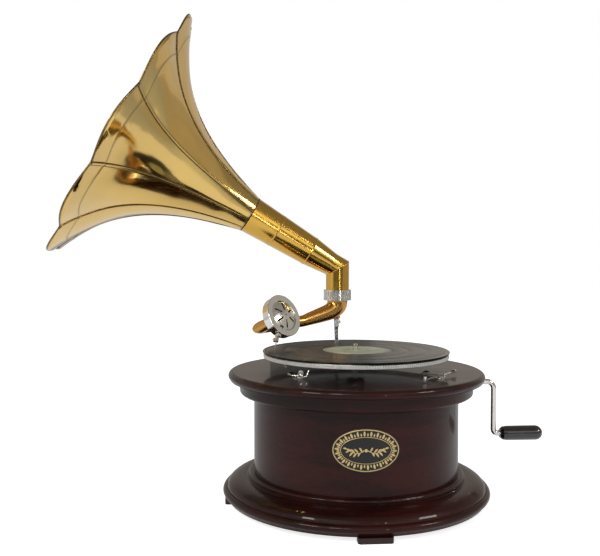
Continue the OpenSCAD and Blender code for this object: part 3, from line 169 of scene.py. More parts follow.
class DeckLooks(bpy.types.PropertyGroup):
    """The turntable, the record and the bright metal."""

    nickel: colour("Nickel", "Colour of the bright plated pieces", (0.78, 0.77, 0.74))
    platter: colour("Platter", "Colour of the platter's plated rim", (0.74, 0.73, 0.70))
    shellac: colour("Shellac", "Colour of the record", (0.008, 0.008, 0.009))
    label: colour("Label", "Colour of the record's paper label", (0.42, 0.45, 0.30))
    grip: colour("Grip", "Colour of the crank's grip", (0.006, 0.006, 0.007))
    knurl_columns: number("Knurl columns", "Raised squares round the platter's rim", 236, 60, 900)
    knurl_rows: number("Knurl rows", "Raised squares up the platter's rim", 3, 1, 8)


class StageLooks(bpy.types.PropertyGroup):
    """The camera, the lamps and the floor."""

    camera_place: FloatVectorProperty(
        name="Camera place", description="Where the camera stands", subtype="TRANSLATION", unit="LENGTH", size=3,
        default=(-0.1511, -1.0771, 0.339))
    camera_turn: FloatVectorProperty(
        name="Camera turn", description="The camera's rotation", subtype="EULER", unit="ROTATION", size=3,
        default=(math.radians(87.95), 0, math.radians(-4)))
    lens: FloatProperty(name="Lens", description="Focal length in millimetres", default=48, min=10, max=200)
    floor: colour("Floor", "Colour of the floor", (0.93, 0.93, 0.93))
    lift: FloatProperty(
        name="Floor lift", description="How much whiter the camera sees the floor", default=0.8, min=0, max=2)


# ---- shader maths and finishes

def maths(operation):
    """A method of Reading that adds a Math node on the reading itself and on what the method is given."""
    def add_node(self, *values):
        return self.nodes.add("ShaderNodeMath", {"operation": operation}, dict(enumerate((self, *values))))
    return add_node


class Reading:
    """A socket that is read; Python's operators on it add the shader's Math nodes."""

    def __init__(self, nodes, socket):
        self.nodes, self.socket = nodes, socket

    __add__ = __radd__ = maths("ADD")
    __mul__ = __rmul__ = maths("MULTIPLY")
    __sub__ = maths("SUBTRACT")
    __gt__ = maths("GREATER_THAN")
    __lt__ = maths("LESS_THAN")
    sine = maths("SINE")
    root = maths("SQRT")
    angle_over = maths("ARCTAN2")

    def __rsub__(self, other):
        return self * -1 + other

    def step(self, low, high):
        """0 below low and 1 above high, smooth between them."""
        return self.nodes.add("ShaderNodeMapRange", {"interpolation_type": "SMOOTHSTEP"}, {
            "Value": self, "From Min": low, "From Max": high})


class Nodes:
    """A node tree that is filled by its method add."""

    def __init__(self, tree):
        self.tree = tree

    def fill(self, node, sockets):
        """Sets or links a node's sockets, each given by its identifier, name or place."""
        for key, value in sockets.items():
            socket = next((s for s in node.inputs if s.identifier == key), None) or node.inputs[key]
            if isinstance(value, Reading):
                self.tree.links.new(value.socket, socket)
            elif socket.type == "RGBA" and len(value) == 3:
                socket.default_value = (*value, 1)
            else:
                socket.default_value = value

    def add(self, kind, settings=None, sockets=None, out=0):
        """Adds a node: its settings first, then the values or links of its sockets; gives the output to read."""
        node = self.tree.nodes.new(kind)
        for key, value in (settings or {}).items():
            setattr(node, key, value)
        self.fill(node, sockets or {})
        if isinstance(out, str):
            out = [s.identifier for s in node.outputs].index(out)
        return Reading(self, node.outputs[out]) if node.outputs else None

    def seen_by(self, ray):
        """1 for what the camera sees (Camera) or for what polished surfaces mirror (Glossy)."""
        return self.add("ShaderNodeLightPath", out=f"Is {ray} Ray")


class Finish(Nodes):
    """One material: its surface shader and the nodes that feed it."""

    def __init__(self, name, **constants):
        self.material = bpy.data.materials.new(name)
        self.material.use_nodes = True
        super().__init__(self.material.node_tree)
        self.surface = self.tree.nodes["Principled BSDF"]
        for key, value in constants.items():
            self.set(key.replace("_", " ").title().replace("Ior", "IOR"), value)

    def set(self, socket, value):
        self.fill(self.surface, {socket: value})

    def place(self):
        """The point in the object's own frame, which is the part's frame at rest."""
        return self.add("ShaderNodeTexCoord", out="Object")

    def parts(self, vector):
        split = self.add("ShaderNodeSeparateXYZ", sockets={0: vector}).socket.node
        return [Reading(self, s) for s in split.outputs]

    def from_axis(self):
        """How far the point is from the z axis."""
        x, y, _ = self.parts(self.place())
        return (x * x + y * y).root()

    def joined(self, x, y, z):
        return self.add("ShaderNodeCombineXYZ", sockets={0: x, 1: y, 2: z})

    def stretched(self, vector, scale):
        return self.add("ShaderNodeVectorMath", {"operation": "MULTIPLY"}, {0: vector, 1: scale})

    def noise(self, vector, scale, detail=2.0, roughness=0.5, distortion=0.0):
        return self.add("ShaderNodeTexNoise", sockets={
            "Vector": vector, "Scale": scale, "Detail": detail, "Roughness": roughness, "Distortion": distortion})

    def mix(self, factor, low, high):
        """Blends two colours by a factor from 0 to 1."""
        return self.add("ShaderNodeMix", {"data_type": "RGBA"}, {
            "Factor_Float": factor, "A_Color": low, "B_Color": high}, out="Result_Color")

    def bump(self, height, distance, strength=1.0):
        """Feeds the surface's normal from a height between 0 and 1; the distance is in metres."""
        self.set("Normal", self.add("ShaderNodeBump", sockets={
            "Height": height, "Distance": distance, "Strength": strength}))


def scaled(shade, share):
    return tuple(c * share for c in shade)


def brass_finish(name, shade, tarnish_and_shade, roughness, wave, wave_scale, coat=0.35, patina_and_shade=False):
    """Polished, lacquered brass with slow waves and some stains; the patina attribute darkens the mesh's marked
    edges, with tarnish at seams and joints and painted shade along the crease and the rolled rim.
    """
    f = Finish(name, metallic=1.0, coat_weight=coat, coat_roughness=0.06, coat_ior=1.45)
    at = f.place()
    cloud = f.noise(at, 9, detail=4, roughness=0.6)
    stain = f.noise(at, 38, detail=5, roughness=0.65).step(0.56, 0.78)
    ground = f.mix(stain * 0.16, f.mix(cloud.step(0.35, 0.7), scaled(shade, 0.93), shade), scaled(shade, 0.55))
    gloss = f.noise(at, 55, detail=3) * 0.07 + (roughness - 0.03)
    if patina_and_shade:
        # Marked edges: tarnish at seams and joints, and painted shade along the crease and the rolled rim.
        edge = f.add("ShaderNodeAttribute", {"attribute_name": "patina_and_shade"}, out="Fac")
        dark = edge * (f.noise(at, 300, detail=2) * 0.5 + 0.6)
        ground = f.mix(dark, ground, tarnish_and_shade)
        gloss = gloss + dark * 0.3
    f.set("Base Color", ground)
    f.set("Roughness", gloss)
    slow = f.noise(at, wave_scale, detail=1.5, roughness=0.45, distortion=0.3)
    fine = f.noise(at, wave_scale * 7, detail=1)
    f.bump(slow + fine * 0.03, wave)
    return f


def bright_finish(name, shade, roughness):
    """Bright plated metal with fine marks of wear."""
    f = Finish(name, metallic=1.0, coat_weight=0.1, coat_roughness=0.1)
    at = f.place()
    wear = f.noise(at, 45, detail=5, roughness=0.7).step(0.5, 0.75)
    f.set("Base Color", f.mix(wear * 0.5, shade, scaled(shade, 0.72)))
    f.set("Roughness", wear * 0.12 + (f.noise(at, 240, detail=2) * 0.08 + (roughness - 0.04)))
    f.bump(f.noise(at, 60, detail=2), 0.0002)
    return f


def wood_finish(name, looks, turned_piece, lighter=1.0):
    """Stained, high-gloss wood whose grain runs round a turned piece, and along x on a board."""
    f = Finish(name, coat_weight=0.42, coat_roughness=0.03, coat_ior=1.36, specular_ior_level=0.1)
    at = f.place()
    if turned_piece:
        x, y, z = f.parts(at)
        grain_at = f.joined(y.angle_over(x) * 0.9, f.from_axis() * 16, z * 24)
    else:
        grain_at = f.stretched(at, (3.2, 42, 42))
    figure = f.noise(grain_at, 1.4, detail=5, roughness=0.62, distortion=0.6)
    pores = f.noise(f.stretched(grain_at, (5, 9, 9)), 3.0, detail=3, roughness=0.6).step(0.56, 0.7)
    cloud = f.noise(at, 4.5, detail=2)
    red = (figure * 0.75 + cloud * 0.5 - 0.12).step(0.28, 0.78)
    ground = f.mix(red, scaled(looks.dark_wood, lighter), scaled(looks.red_wood, lighter))
    f.set("Base Color", f.mix(pores * 0.55, ground, scaled(looks.dark_wood, 0.5 * lighter)))
    f.set("Roughness", figure * 0.15 + 0.3)
    f.bump(figure * 0.7 + pores * 0.3, 0.00008, 0.5)
    return f


def plain_finish(name, shade, roughness, grain, depth=0.00015, metallic=0.0):
    """A plain painted, rubber, felt or dull metal surface with its own fine grain."""
    f = Finish(name, metallic=metallic)
    grey = f.noise(f.place(), grain, detail=5, roughness=0.65)
    f.set("Base Color", f.mix(grey.step(0.3, 0.7), scaled(shade, 0.65), scaled(shade, 1.14)))
    f.set("Roughness", grey * 0.2 + (roughness - 0.1))
    f.bump(grey, depth)
    return f


# ---- shapes: lists of points and of faces

def lattice(rows, across=True, along=False, flip=False):
    """Quads over rows of points; across joins each row's ends, and along joins the last row to the first."""
    count, columns = len(rows), len(rows[0])
    faces = []
    for i in range(count if along else count - 1):
        a, b = i * columns, (i + 1) % count * columns
        for c in range(columns if across else columns - 1):
            n = (c + 1) % columns
            quad = (a + c, a + n, b + n, b + c)
            faces.append(quad[::-1] if flip else quad)
    return [p for row in rows for p in row], faces


def shells(*shapes):
    """Joins several shapes into one."""
    points, faces = [], []
    for more_points, more_faces in shapes:
        start = len(points)
        points += more_points
        faces += [tuple(i + start for i in f) for f in more_faces]
    return points, faces


def sheet(outer, inner):
    """A thick sheet between two grids with the same rows and columns."""
    rows, columns = len(outer), len(outer[0])
    total = rows * columns
    points, faces = shells(lattice(outer, across=False, flip=True), lattice(inner, across=False))
    edge = ([i * columns for i in range(rows)] + [(rows - 1) * columns + c for c in range(1, columns)]
            + [i * columns + columns - 1 for i in range(rows - 2, -1, -1)] + list(range(columns - 2, 0, -1)))
    faces += [(b + total, a + total, a, b) for a, b in zip(edge, edge[1:] + edge[:1])]
    return points, faces


def tube(rings):
    """A skin over closed rings of points, with flat ends."""
    points, faces = lattice(rings)
    sides = len(rings[0])
    return points, faces + [tuple(range(sides - 1, -1, -1)), tuple(range(len(points) - sides, len(points)))]


def circle(count, start=0.0):
    """Cosine and sine of even steps round a circle, with the first one start steps on."""
    return [(math.cos(a), math.sin(a)) for a in [2 * math.pi * (k + start) / count for k in range(count)]]


def turned(profile, sides, place=Matrix(), closed=True):
    """A profile of (radius, height) turned round the place's z axis."""
    rings = [[place @ Vector((r * c, r * s, h)) for c, s in circle(sides)] for r, h in profile]
    return lattice(rings, along=closed)


def arc(r, h, radius, start, end, steps):
    """Points (radius, height) of a profile on an arc about (r, h), angles in degrees."""
    angles = [math.radians(start + (end - start) * k / steps) for k in range(steps + 1)]
    return [(r + radius * math.cos(a), h + radius * math.sin(a)) for a in angles]


def ramp(start, end, steps):
    """Even steps from one point to another, without the first."""
    return [tuple(a + (b - a) * t / steps for a, b in zip(start, end)) for t in range(1, steps + 1)]


def bezier(handles, t):
    a, b, c, d = handles
    return a * (1 - t) ** 3 + b * 3 * t * (1 - t) ** 2 + c * 3 * t * t * (1 - t) + d * t ** 3


def make_piece(name, shape, finish, body, replaced=(), sharp=40):
    """A shape in millimetres of the part's frame becomes a piece that rides on a body; sharp 0 keeps faces flat."""
    points, faces = shape
    mesh = bpy.data.meshes.new(name)
    mesh.from_pydata([Vector(p) * MM for p in points], [], faces)
    mesh.validate()
    mesh.materials.append(finish.material)
    mesh.polygons.foreach_set("use_smooth", [sharp > 0] * len(mesh.polygons))
    mesh.update()
    piece = bpy.data.objects.new(name, mesh)
    bpy.context.scene.collection.objects.link(piece)
    if sharp:
        mesh.set_sharp_from_angle(angle=math.radians(sharp))
    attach(piece, body)
    if replaced:
        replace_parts(piece, *replaced)
    return piece


# ---- the horn

# A row of a petal is its share along the bell, and a column its share across the petal
PETAL_ROWS, PETAL_COLUMNS = 56, 22
CREASE_AT, CREASE_W, CREASE_H, CREASE_ZONE = 0.938, 0.012, 0.9, 0.016
RIM_FROM, RIM_ZONE, RIM_INSET = 0.9, 0.988, 1.9
SEAM_EDGE = 0.7

# Rows beside the crease, as distance from it and the painted shade that darkens the crease
CREASE_ROWS = ((-0.014, 0.0), (-0.007, 0.0), (-0.003, 0.1), (-0.0013, 0.6),
               (0.0013, 0.6), (0.003, 0.1), (0.007, 0.0), (0.014, 0.0))
# Rows of the rolled rim, as row, how far it is rolled out, and the painted shade that darkens the rim
RIM_ROWS = ((0.9905, 0.0, 0.0), (0.9945, 0.25, 0.5), (0.9965, 0.45, 0.9), (0.9985, 0.5, 1.0), (1.0, 0.2, 1.0))
# Columns of the folded seam, as place in seam widths, height in seam heights, and tarnish
SEAM = ((0, 0.6, 1.0), (0.08, 0.9, 0.9), (0.24, 1.0, 0.1), (0.5, 1.06, 0.0),
        (0.76, 1.0, 0.1), (0.92, 0.9, 0.9), (1.0, 0.5, 1.0), (1.04, 0.06, 1.0))


def bell_r(s):
    return BELL_R0 * BELL_WIDENING ** (s / BELL_L) + BELL_FLARE * (s / BELL_L) ** 9


def bulge_share(row):
    """How much a petal bulges along its length: nearly flat in the middle, and full at the rim."""
    t = min(1, max(0, (row - 0.5) / 0.45))
    return 1.45 * t * t * (3 - 2 * t) - 0.45 * min(1, row / 0.2)


def petal_point(row, u, out, k, waviness):
    """A point of petal k at a row and a column, and out of the petal's inner face."""
    wave = abs(math.sin(math.pi * u)) ** 1.2
    s = row * (BELL_L + SCALLOP * wave * row ** 6)
    near = min(s, BELL_L)
    slope = bell_r(near + 0.5) - bell_r(near - 0.5)
    swell = 1 + PETAL_BULGE * wave * bulge_share(row)
    ridge = CREASE_H * max(0, 1 - abs(row - CREASE_AT) / CREASE_W) ** 1.3
    inset = RIM_INSET * max(0, (row - RIM_FROM) / (1 - RIM_FROM))
    r = bell_r(near) * swell + max(0, s - BELL_L) * 0.6 + ridge - inset
    a = math.radians(PETAL_TURN * u)
    lean = math.sqrt(1 + slope * slope)
    free = min(1, 4 * wave) * min(1, row / 0.1) * min(1, (1 - row) / 0.04 + 0.15)
    out += waviness * free * noise.noise(Vector((r * a / 34 + 7.3 * k, s / 52, 3.1 * k))) * 2
    r += out / lean
    return Vector((r * math.cos(a), r * math.sin(a), s - out * slope / lean))


def petal_columns(row):
    """Columns across a petal at a row: share, height over the inner face, and tarnish."""
    s = row * BELL_L
    width = 2 * math.pi * bell_r(s) / PETALS
    seam = min(0.3, (2 + (SEAM_W - 2) * s / BELL_L) / width)
    lift, edge = SEAM_H * min(1, row * 6), SEAM_EDGE / width
    columns = [(share * seam, SHEET_T + lift * height, dark) for share, height, dark in SEAM]
    first, last = columns[-1][0] + edge, 1 - edge
    start, end = first + edge, last - edge
    columns += [(first, SHEET_T, 0.9), (start, SHEET_T, 0.05)]
    columns += [(u, SHEET_T, 0.0) for u, in ramp((start,), (end,), PETAL_COLUMNS)[:-1]]
    return columns + [(end, SHEET_T, 0.05), (last, SHEET_T, 0.9), (1.0, SHEET_T, 1.0)]


def make_petal(k, finish, waviness):
    """One petal with its seam, its crease and its rolled rim; the patina attribute marks its dark edges, with tarnish
    at the seams and by the neck and painted shade along the crease and the rim.
    """
    even = [i / PETAL_ROWS for i in range(PETAL_ROWS)]
    rows = [(row, 0.0, 0.0) for row in even if abs(row - CREASE_AT) > CREASE_ZONE and row < RIM_ZONE]
    rows = sorted(rows + [(CREASE_AT + off, 0.0, dark) for off, dark in CREASE_ROWS] + list(RIM_ROWS))
    place = (HORN_FRAME @ Matrix.Translation((0, 0, NECK_L)) @ Matrix.Scale(-1, 4, (1, 0, 0))
             @ Matrix.Rotation(math.radians(SEAM_START + PETAL_TURN * (k - 1)), 4, "Z"))
    outer, inner, outer_dark, inner_dark = [], [], [], []
    for row, roll, dark in rows:
        columns = petal_columns(row)
        foot = max(0, 1 - row / 0.012) * 0.7
        outer.append([place @ petal_point(row, u, t + roll, k, waviness) for u, t, _ in columns])
        inner.append([place @ petal_point(row, u, -roll * 0.6, k, waviness) for u, t, _ in columns])
        outer_dark += [max(dark, foot, side) for _, _, side in columns]
        inner_dark += [max(dark, side if u < 0.02 or u > 0.5 else 0.0) for u, _, side in columns]
    petal = make_piece(
        f"petal_{k}", sheet(outer, inner), finish, "horn", [f"horn_petal_{k}"], sharp=35)
    # Crease and rim rows carry painted shade; seam columns and the foot by the neck carry tarnish.
    patina_and_shade = petal.data.attributes.new("patina_and_shade", "FLOAT", "POINT")
    patina_and_shade.data.foreach_set("value", outer_dark + inner_dark)


class MakeHorn(bpy.types.Operator):
    """Make the ten petals with their folded seams, the neck and the elbow"""

    bl_idname = "gramophone.make_horn"
    bl_label = "Horn"
    neck_sides, solder_sides, elbow_sides = 144, 160, 96

    def execute(self, context):
        looks = context.scene.gramophone_horn
        brass = brass_finish("horn brass", looks.brass, looks.tarnish_and_shade, 0.11, 0.0006, 16, patina_and_shade=True)
        deep = brass_finish("neck brass", looks.deep_brass, looks.tarnish_and_shade, 0.14, 0.00016, 20)
        solder = plain_finish("solder", looks.tarnish_and_shade, 0.45, grain=400, metallic=0.6)
        for k in range(1, PETALS + 1):
            make_petal(k, brass, looks.waviness / MM)
        self.make_neck(deep)
        self.make_solder_line(solder)
        self.make_elbow(deep)
        return {"FINISHED"}

    def make_neck(self, deep):
        """Two cones with a cuff at the elbow, a bead between them and a step above the bead."""
        r0, r1, cuff, step = NECK_R0, NECK_R1, ELBOW_L + 1.4, BEAD_AT + 4.8
        profile = [(r0 - SHEET_T, ELBOW_L), (r0 + 0.35, ELBOW_L), (r0 + 0.6, ELBOW_L + 0.5), (r0 + 0.35, cuff),
                   (r0 + 0.12, cuff + 0.3)]
        profile += ramp((r0, cuff + 1), (r1, BEAD_AT - 3), 10)
        profile += arc(r1 - 0.3, BEAD_AT, 0.9, -60, 60, 6)
        profile += [(r1 + 0.05, BEAD_AT + 1.4), (r1 + 0.4, BEAD_AT + 4), (r1 + 0.4, step - 0.2), (r1 + 0.2, step)]
        profile += ramp((r1 + 0.2, step), (NECK_R2, NECK_L), 8)
        profile += [(NECK_R2 - SHEET_T, NECK_L), (r1 - SHEET_T, BEAD_AT)]
        make_piece("neck", turned(profile, self.neck_sides, HORN_FRAME), deep, "horn", ["horn_neck"],
                   sharp=30)

    def make_solder_line(self, solder):
        """The ragged dark line of solder where the petals join the neck."""
        low_r, high_r, thick = NECK_R2 - 0.12, NECK_R2 + 0.56, 0.35
        rings = [[], [], [], []]
        for c, s in circle(self.solder_sides):
            low = NECK_L - 0.9 - 1.6 * max(0, noise.noise(Vector((c * 9, s * 9, 2.5))))
            high = NECK_L + 0.5 + 1.1 * max(0, noise.noise(Vector((c * 5, s * 5, 8.5))))
            corners = ((low_r, low), (high_r, high), (high_r - thick, high), (low_r - thick, low))
            for ring, (r, z) in zip(rings, corners):
                ring.append(HORN_FRAME @ Vector((r * c, r * s, z)))
        make_piece("solder_line", lattice(rings, along=True), solder, "horn")

    def elbow_ring(self, z, r, upper):
        """A ring of the elbow's upper or lower tube, cut off at the mitre."""
        ring = []
        for c, s in circle(self.elbow_sides):
            mitre = r * c * math.tan(MITRE_TILT)
            if upper:
                ring.append(HORN_FRAME @ Vector((r * c, r * s, max(z, mitre))))
            else:
                ring.append(LOW_FRAME @ Vector((r * c, r * s, min(z, -mitre))))
        return ring

    def bead_ring(self, off, lift):
        """A ring of the bead along the mitre: off its plane, and lifted over the tubes."""
        normal = Vector((math.sin(MITRE_TILT), 0, math.cos(MITRE_TILT)))
        r = ELBOW_R + lift
        return [LOW_FRAME @ (Vector((r * c, r * s, -r * c * math.tan(MITRE_TILT))) + normal * off)
                for c, s in circle(self.elbow_sides)]

    def make_elbow(self, deep):
        """Two tubes that meet at the mitre, the upper one widening to the neck."""
        low_z, bore = RING_Z - MITRE_Z, ELBOW_R - SHEET_T
        straight = ELBOW_R * math.tan(MITRE_TILT) + 2
        low_ring = self.elbow_ring(low_z, ELBOW_R, False)
        bead = [self.bead_ring(off, lift) for off, lift in ((-0.5, 0.0), (-0.25, 0.3), (0.25, 0.3), (0.5, 0.0))]
        widening = [(straight, ELBOW_R), *ramp((straight, ELBOW_R), (ELBOW_L, NECK_R0), 8)]
        upper = [self.elbow_ring(z, r, True) for z, r in (*widening, (ELBOW_L, NECK_R0 - SHEET_T), (straight, bore))]
        lower = [self.elbow_ring(z, bore, False) for z in (ELBOW_L, low_z)]
        make_piece("elbow", lattice([low_ring, *bead, *upper, *lower], along=True), deep, "horn",
                   ["horn_elbow"], sharp=25)


# ---- the tone arm

TUBE_SIDES = 56


def upright_oval(inner, outer, half_w):
    """An ellipse through two points of the plane y = 0, with its own half width along y."""
    ring = []
    for c, s in circle(TUBE_SIDES):
        mid = (inner * (1 + c) + outer * (1 - c)) / 2
        ring.append(Vector((mid.x, half_w * s, mid.y)))
    return ring


class MakeToneArm(bpy.types.Operator):
    """Make the tone arm and the gooseneck with smooth bends"""

    bl_idname = "gramophone.make_tone_arm"
    bl_label = "Tone arm"
    top = RING_RISE - RING_H / 2
    bend = 61.0

    def execute(self, context):
        looks = context.scene.gramophone_horn
        brass = brass_finish("arm brass", looks.arm_brass, looks.tarnish_and_shade, 0.22, 0.0002, 28, coat=0.15)
        self.make_arm(brass)
        self.make_gooseneck(brass)
        return {"FINISHED"}

    def hollow(self, rings, place):
        """A tube with a bore, from its rings at a wall thickness."""
        skin = [[place @ p for p in ring] for ring in rings(0) + rings(TUBE_T)[::-1]]
        points, faces = lattice(skin, along=True)
        return points, [f[::-1] for f in faces]

    def bend_ring(self, t, wall):
        """A ring of the bend from the ring on the bracket down to the arm."""
        up = Vector((math.sin(ARM_SLOPE), math.cos(ARM_SLOPE)))
        end = Vector((self.bend, -self.bend * math.tan(ARM_SLOPE)))
        low = self.top - 2
        inner = bezier([Vector((ARM_R0, low)), Vector((ARM_R0 + 1, low - 5)), Vector((30, 15)), end + ARM_R1 * up], t)
        outer = bezier([Vector((-ARM_R0, low)), Vector((-ARM_R0, -6)), Vector((12, -6.5)), end - ARM_R1 * up], t)
        across = (outer - inner).normalized()
        half_w = ARM_R1 + (ARM_R0 - ARM_R1) * (1 - t) ** 1.25
        return upright_oval(inner + wall * across, outer - wall * across, half_w - wall)

    def arm_rings(self, wall):
        rings = [[p + Vector((0, 0, 2.2)) for p in self.bend_ring(0, wall)]]
        rings += [self.bend_ring(i / 40, wall) for i in range(41)]
        run = NECK_JOINT - self.bend / math.cos(ARM_SLOPE)
        along = Vector((math.cos(ARM_SLOPE), 0, -math.sin(ARM_SLOPE)))
        return rings + [[p + along * run * t / 6 for p in self.bend_ring(1, wall)] for t in range(1, 7)]

    def make_arm(self, brass):
        """The bent arm, the collar that turns in the ring and the boss under the bend."""
        bore, collar_top = ARM_R0 - TUBE_T, self.top + RING_H / 2 - 0.4
        collar = turned([(ELBOW_R, self.top), (ELBOW_R, collar_top), (bore, collar_top), (bore, self.top),
                         (ARM_R0, self.top)], 64, ARM_FRAME)
        boss = turned([(0, 1.4), (0, -4.6), (3.6, -4.6), (4.2, -4.0), (4.2, 1.4)], 32, ARM_FRAME, closed=False)
        shape = shells(self.hollow(self.arm_rings, ARM_FRAME), collar, boss)
        make_piece("tone_arm_tube", shape, brass, "arm", ["tone_arm"], sharp=35)

    def neck_rings(self, wall):
        """The rings of the gooseneck: its start, its tight bend and its straight end."""
        away = Vector((math.cos(NECK_TURN), math.sin(NECK_TURN)))

        def bend_point(r, start_r, a):
            return Vector((-start_r * math.tan(NECK_TURN / 2), start_r)) + r * Vector((math.sin(a), -math.cos(a)))

        def cross(at, along, r):
            side = Vector((-along.y, along.x))
            return upright_oval(at + r * side, at - r * side, r)

        rings = [cross(Vector((NECK_JOINT + JOINT_GAP - ARM_L, 0)), Vector((1, 0)), ARM_R1 - wall)]
        for i in range(29):
            a = NECK_TURN * i / 28
            inner = bend_point(NECK_IN_R + wall, ARM_R1 + NECK_IN_R, a)
            outer = bend_point(NECK_OUT_R - wall, NECK_OUT_R - ARM_R1, a)
            rings.append(upright_oval(inner, outer, ARM_R1 - wall))
        bend_end, last = rings[-1], cross((BOX_REACH - 1) * away, away, NECK_END_R - wall)
        return rings + [[a.lerp(b, t) for a, b in zip(bend_end, last)] for t in (0.25, 0.5, 0.75, 1.0)]

    def make_gooseneck(self, brass):
        """The gooseneck with the ferrule and the spigot of its joint."""
        spin = ARM_DIR.to_track_quat("Z", "X").to_matrix().to_4x4()
        place = Matrix.Translation(PIVOT + (NECK_JOINT + JOINT_GAP) * ARM_DIR) @ spin
        low, flank, face, spigot_r = ARM_R1 - 0.2, ARM_R1 + 0.7, ARM_R1 + 0.9, ARM_R1 - TUBE_T - 0.05
        ferrule = turned([(low, 0), (flank, 0), (face, 0.25)] + arc(ARM_R1 + 0.55, 1.5, 0.45, -60, 60, 6)
                         + [(face, 2.75), (flank, 3), (low, 3)], 64, place)
        spigot = turned([(spigot_r, -12), (spigot_r, 1), (spigot_r - 0.9, 1), (spigot_r - 0.9, -12)], 48, place)
        shape = shells(self.hollow(self.neck_rings, NECK_FRAME), ferrule, spigot)
        make_piece("gooseneck_tube", shape, brass, "sound_box", ["gooseneck"], sharp=35)


# ---- the turntable and the record

class MakeTurntable(bpy.types.Operator):
    """Make the record with its grooves and label, and the knurled band on the platter"""

    bl_idname = "gramophone.make_turntable"
    bl_label = "Turntable and record"
    groove_pitch, played_start, played_end = 0.0011, (0.0475, 0.0485), (0.1205, 0.1215)
    played_bands = ((50, 70.5), (71.5, 96), (97, 120.5))

    def execute(self, context):
        looks = context.scene.gramophone_deck
        self.make_record(looks)
        self.make_label(looks)
        self.make_knurl(looks)
        return {"FINISHED"}

    def make_record(self, looks):
        f = Finish("shellac", coat_weight=0.0, specular_ior_level=0.28)
        radius = f.from_axis()
        bands = f.noise(f.joined(radius * 60, 0.0, 0.0), 9, detail=3)
        played = radius.step(*self.played_start) * (1 - radius.step(*self.played_end))
        f.set("Base Color", f.mix(bands.step(0.35, 0.7) * played, looks.shellac, scaled(looks.shellac, 2.6)))
        f.set("Roughness", played * (bands * 0.1 + 0.06) + 0.1)
        groove = (radius * (2 * math.pi / self.groove_pitch)).sine() * 0.5 + 0.5
        f.bump(groove * played + bands * played * 0.6, 0.00012, 0.55)
        top, bottom = RECORD_TOP, RECORD_BOTTOM
        profile = [(SPINDLE_R, bottom), (SPINDLE_R, top - 0.1), (SPINDLE_R + 0.3, top), (LABEL_R + 0.6, top),
                   (LABEL_R + 1.6, top - 0.28)]
        profile += [(LABEL_R + 2.4 + 0.75 * i, top - 0.3 + 0.1 * (i % 2)) for i in range(4)]
        for start, end in self.played_bands:
            profile += [(start, top - 0.34), (start + 0.4, top - 0.24), (end - 0.4, top - 0.24), (end, top - 0.34)]
        profile += [(RECORD_R - 2.3, top - 0.1), (RECORD_R - 1.5, top)]
        profile += arc(RECORD_R + 1.2, top - 0.8, 0.8, 90, 0, 5)
        profile += [(RECORD_R, bottom + 0.7), (RECORD_R - 0.6, bottom)]
        make_piece("record_disc", turned(profile, 256), f, "platter", ["record"], sharp=50)

    def make_label(self, looks):
        f = Finish("label paper", coat_weight=0.25, coat_roughness=0.2)
        at, radius = f.place(), f.from_axis()
        _, y, _ = f.parts(at)
        paper = f.noise(at, 500, detail=4)
        blotch = f.noise(at, 60, detail=3)
        rims = (radius > 0.0405) * (radius < 0.0412) + (radius > 0.0160) * (radius < 0.0164)
        band = (radius > 0.0205) * (radius < 0.0385) * (y > 0.004) * 0.5
        ground = f.mix(blotch.step(0.3, 0.8), scaled(looks.label, 0.86), scaled(looks.label, 1.1))
        printed = f.mix(band, ground, scaled(looks.label, 1.35))
        f.set("Base Color", f.mix(rims * 0.8, printed, scaled(looks.label, 0.18)))
        f.set("Roughness", paper * 0.2 + 0.45)
        f.bump(paper, 0.00005)
        hole, low, dip, top = SPINDLE_R + 0.2, RECORD_TOP - 0.05, RECORD_TOP + 0.02, RECORD_TOP + 0.12
        profile = [(hole, low), (hole, top), (14.6, top), (15, dip), (15.6, dip), (16, top), (LABEL_R - 0.1, top),
                   (LABEL_R, RECORD_TOP + 0.08), (LABEL_R, low)]
        make_piece("record_label", turned(profile, 128), f, "platter")

    def make_knurl(self, looks):
        """A thin band of raised squares round the platter's rim."""
        metal = bright_finish("platter rim", looks.platter, 0.3)
        columns, rows = looks.knurl_columns, looks.knurl_rows
        low, high = PLATTER_BOTTOM + 0.35, PLATTER_BOTTOM + PLATTER_H - 1.0
        squares = []
        for c in range(columns):
            for row in range(rows):
                rings = []
                for radius, inset in ((PLATTER_R - 0.02, 0.06), (PLATTER_R + 0.32, 0.24)):
                    start, end = inset, 1 - inset
                    ring = []
                    for across, up in ((start, start), (end, start), (end, end), (start, end)):
                        a = 2 * math.pi * (c + across) / columns
                        z = low + (high - low) * (row + up) / rows
                        ring.append((radius * math.cos(a), radius * math.sin(a), z))
                    rings.append(ring)
                squares.append(tube(rings))
        make_piece("rim_knurl", shells(*squares), metal, "platter", sharp=0)


# ---- the badge

LINE_H, LEAF_H = 0.25, 0.22
INNER_BORDER = 10.5

# The leaves of one side: share along the stem, lean in degrees, and reach
LEAVES = ((0.15, 60, 6), (0.35, 45, 7), (0.55, 40, 7), (0.75, 30, 6), (0.98, 12, 5),
          (0.25, -60, 5), (0.45, -50, 6), (0.65, -45, 6), (0.85, -30, 5))


def on_drum(across, up, out):
    """A point of the badge: across and up from its middle, and out of its face, wrapped round the drum."""
    face = DRUM_R + BADGE_T
    a = math.asin(max(-1, min(1, across / face))) + BADGE_TURN
    return Vector(((face + out) * math.sin(a), -(face + out) * math.cos(a), BADGE_Z + up))


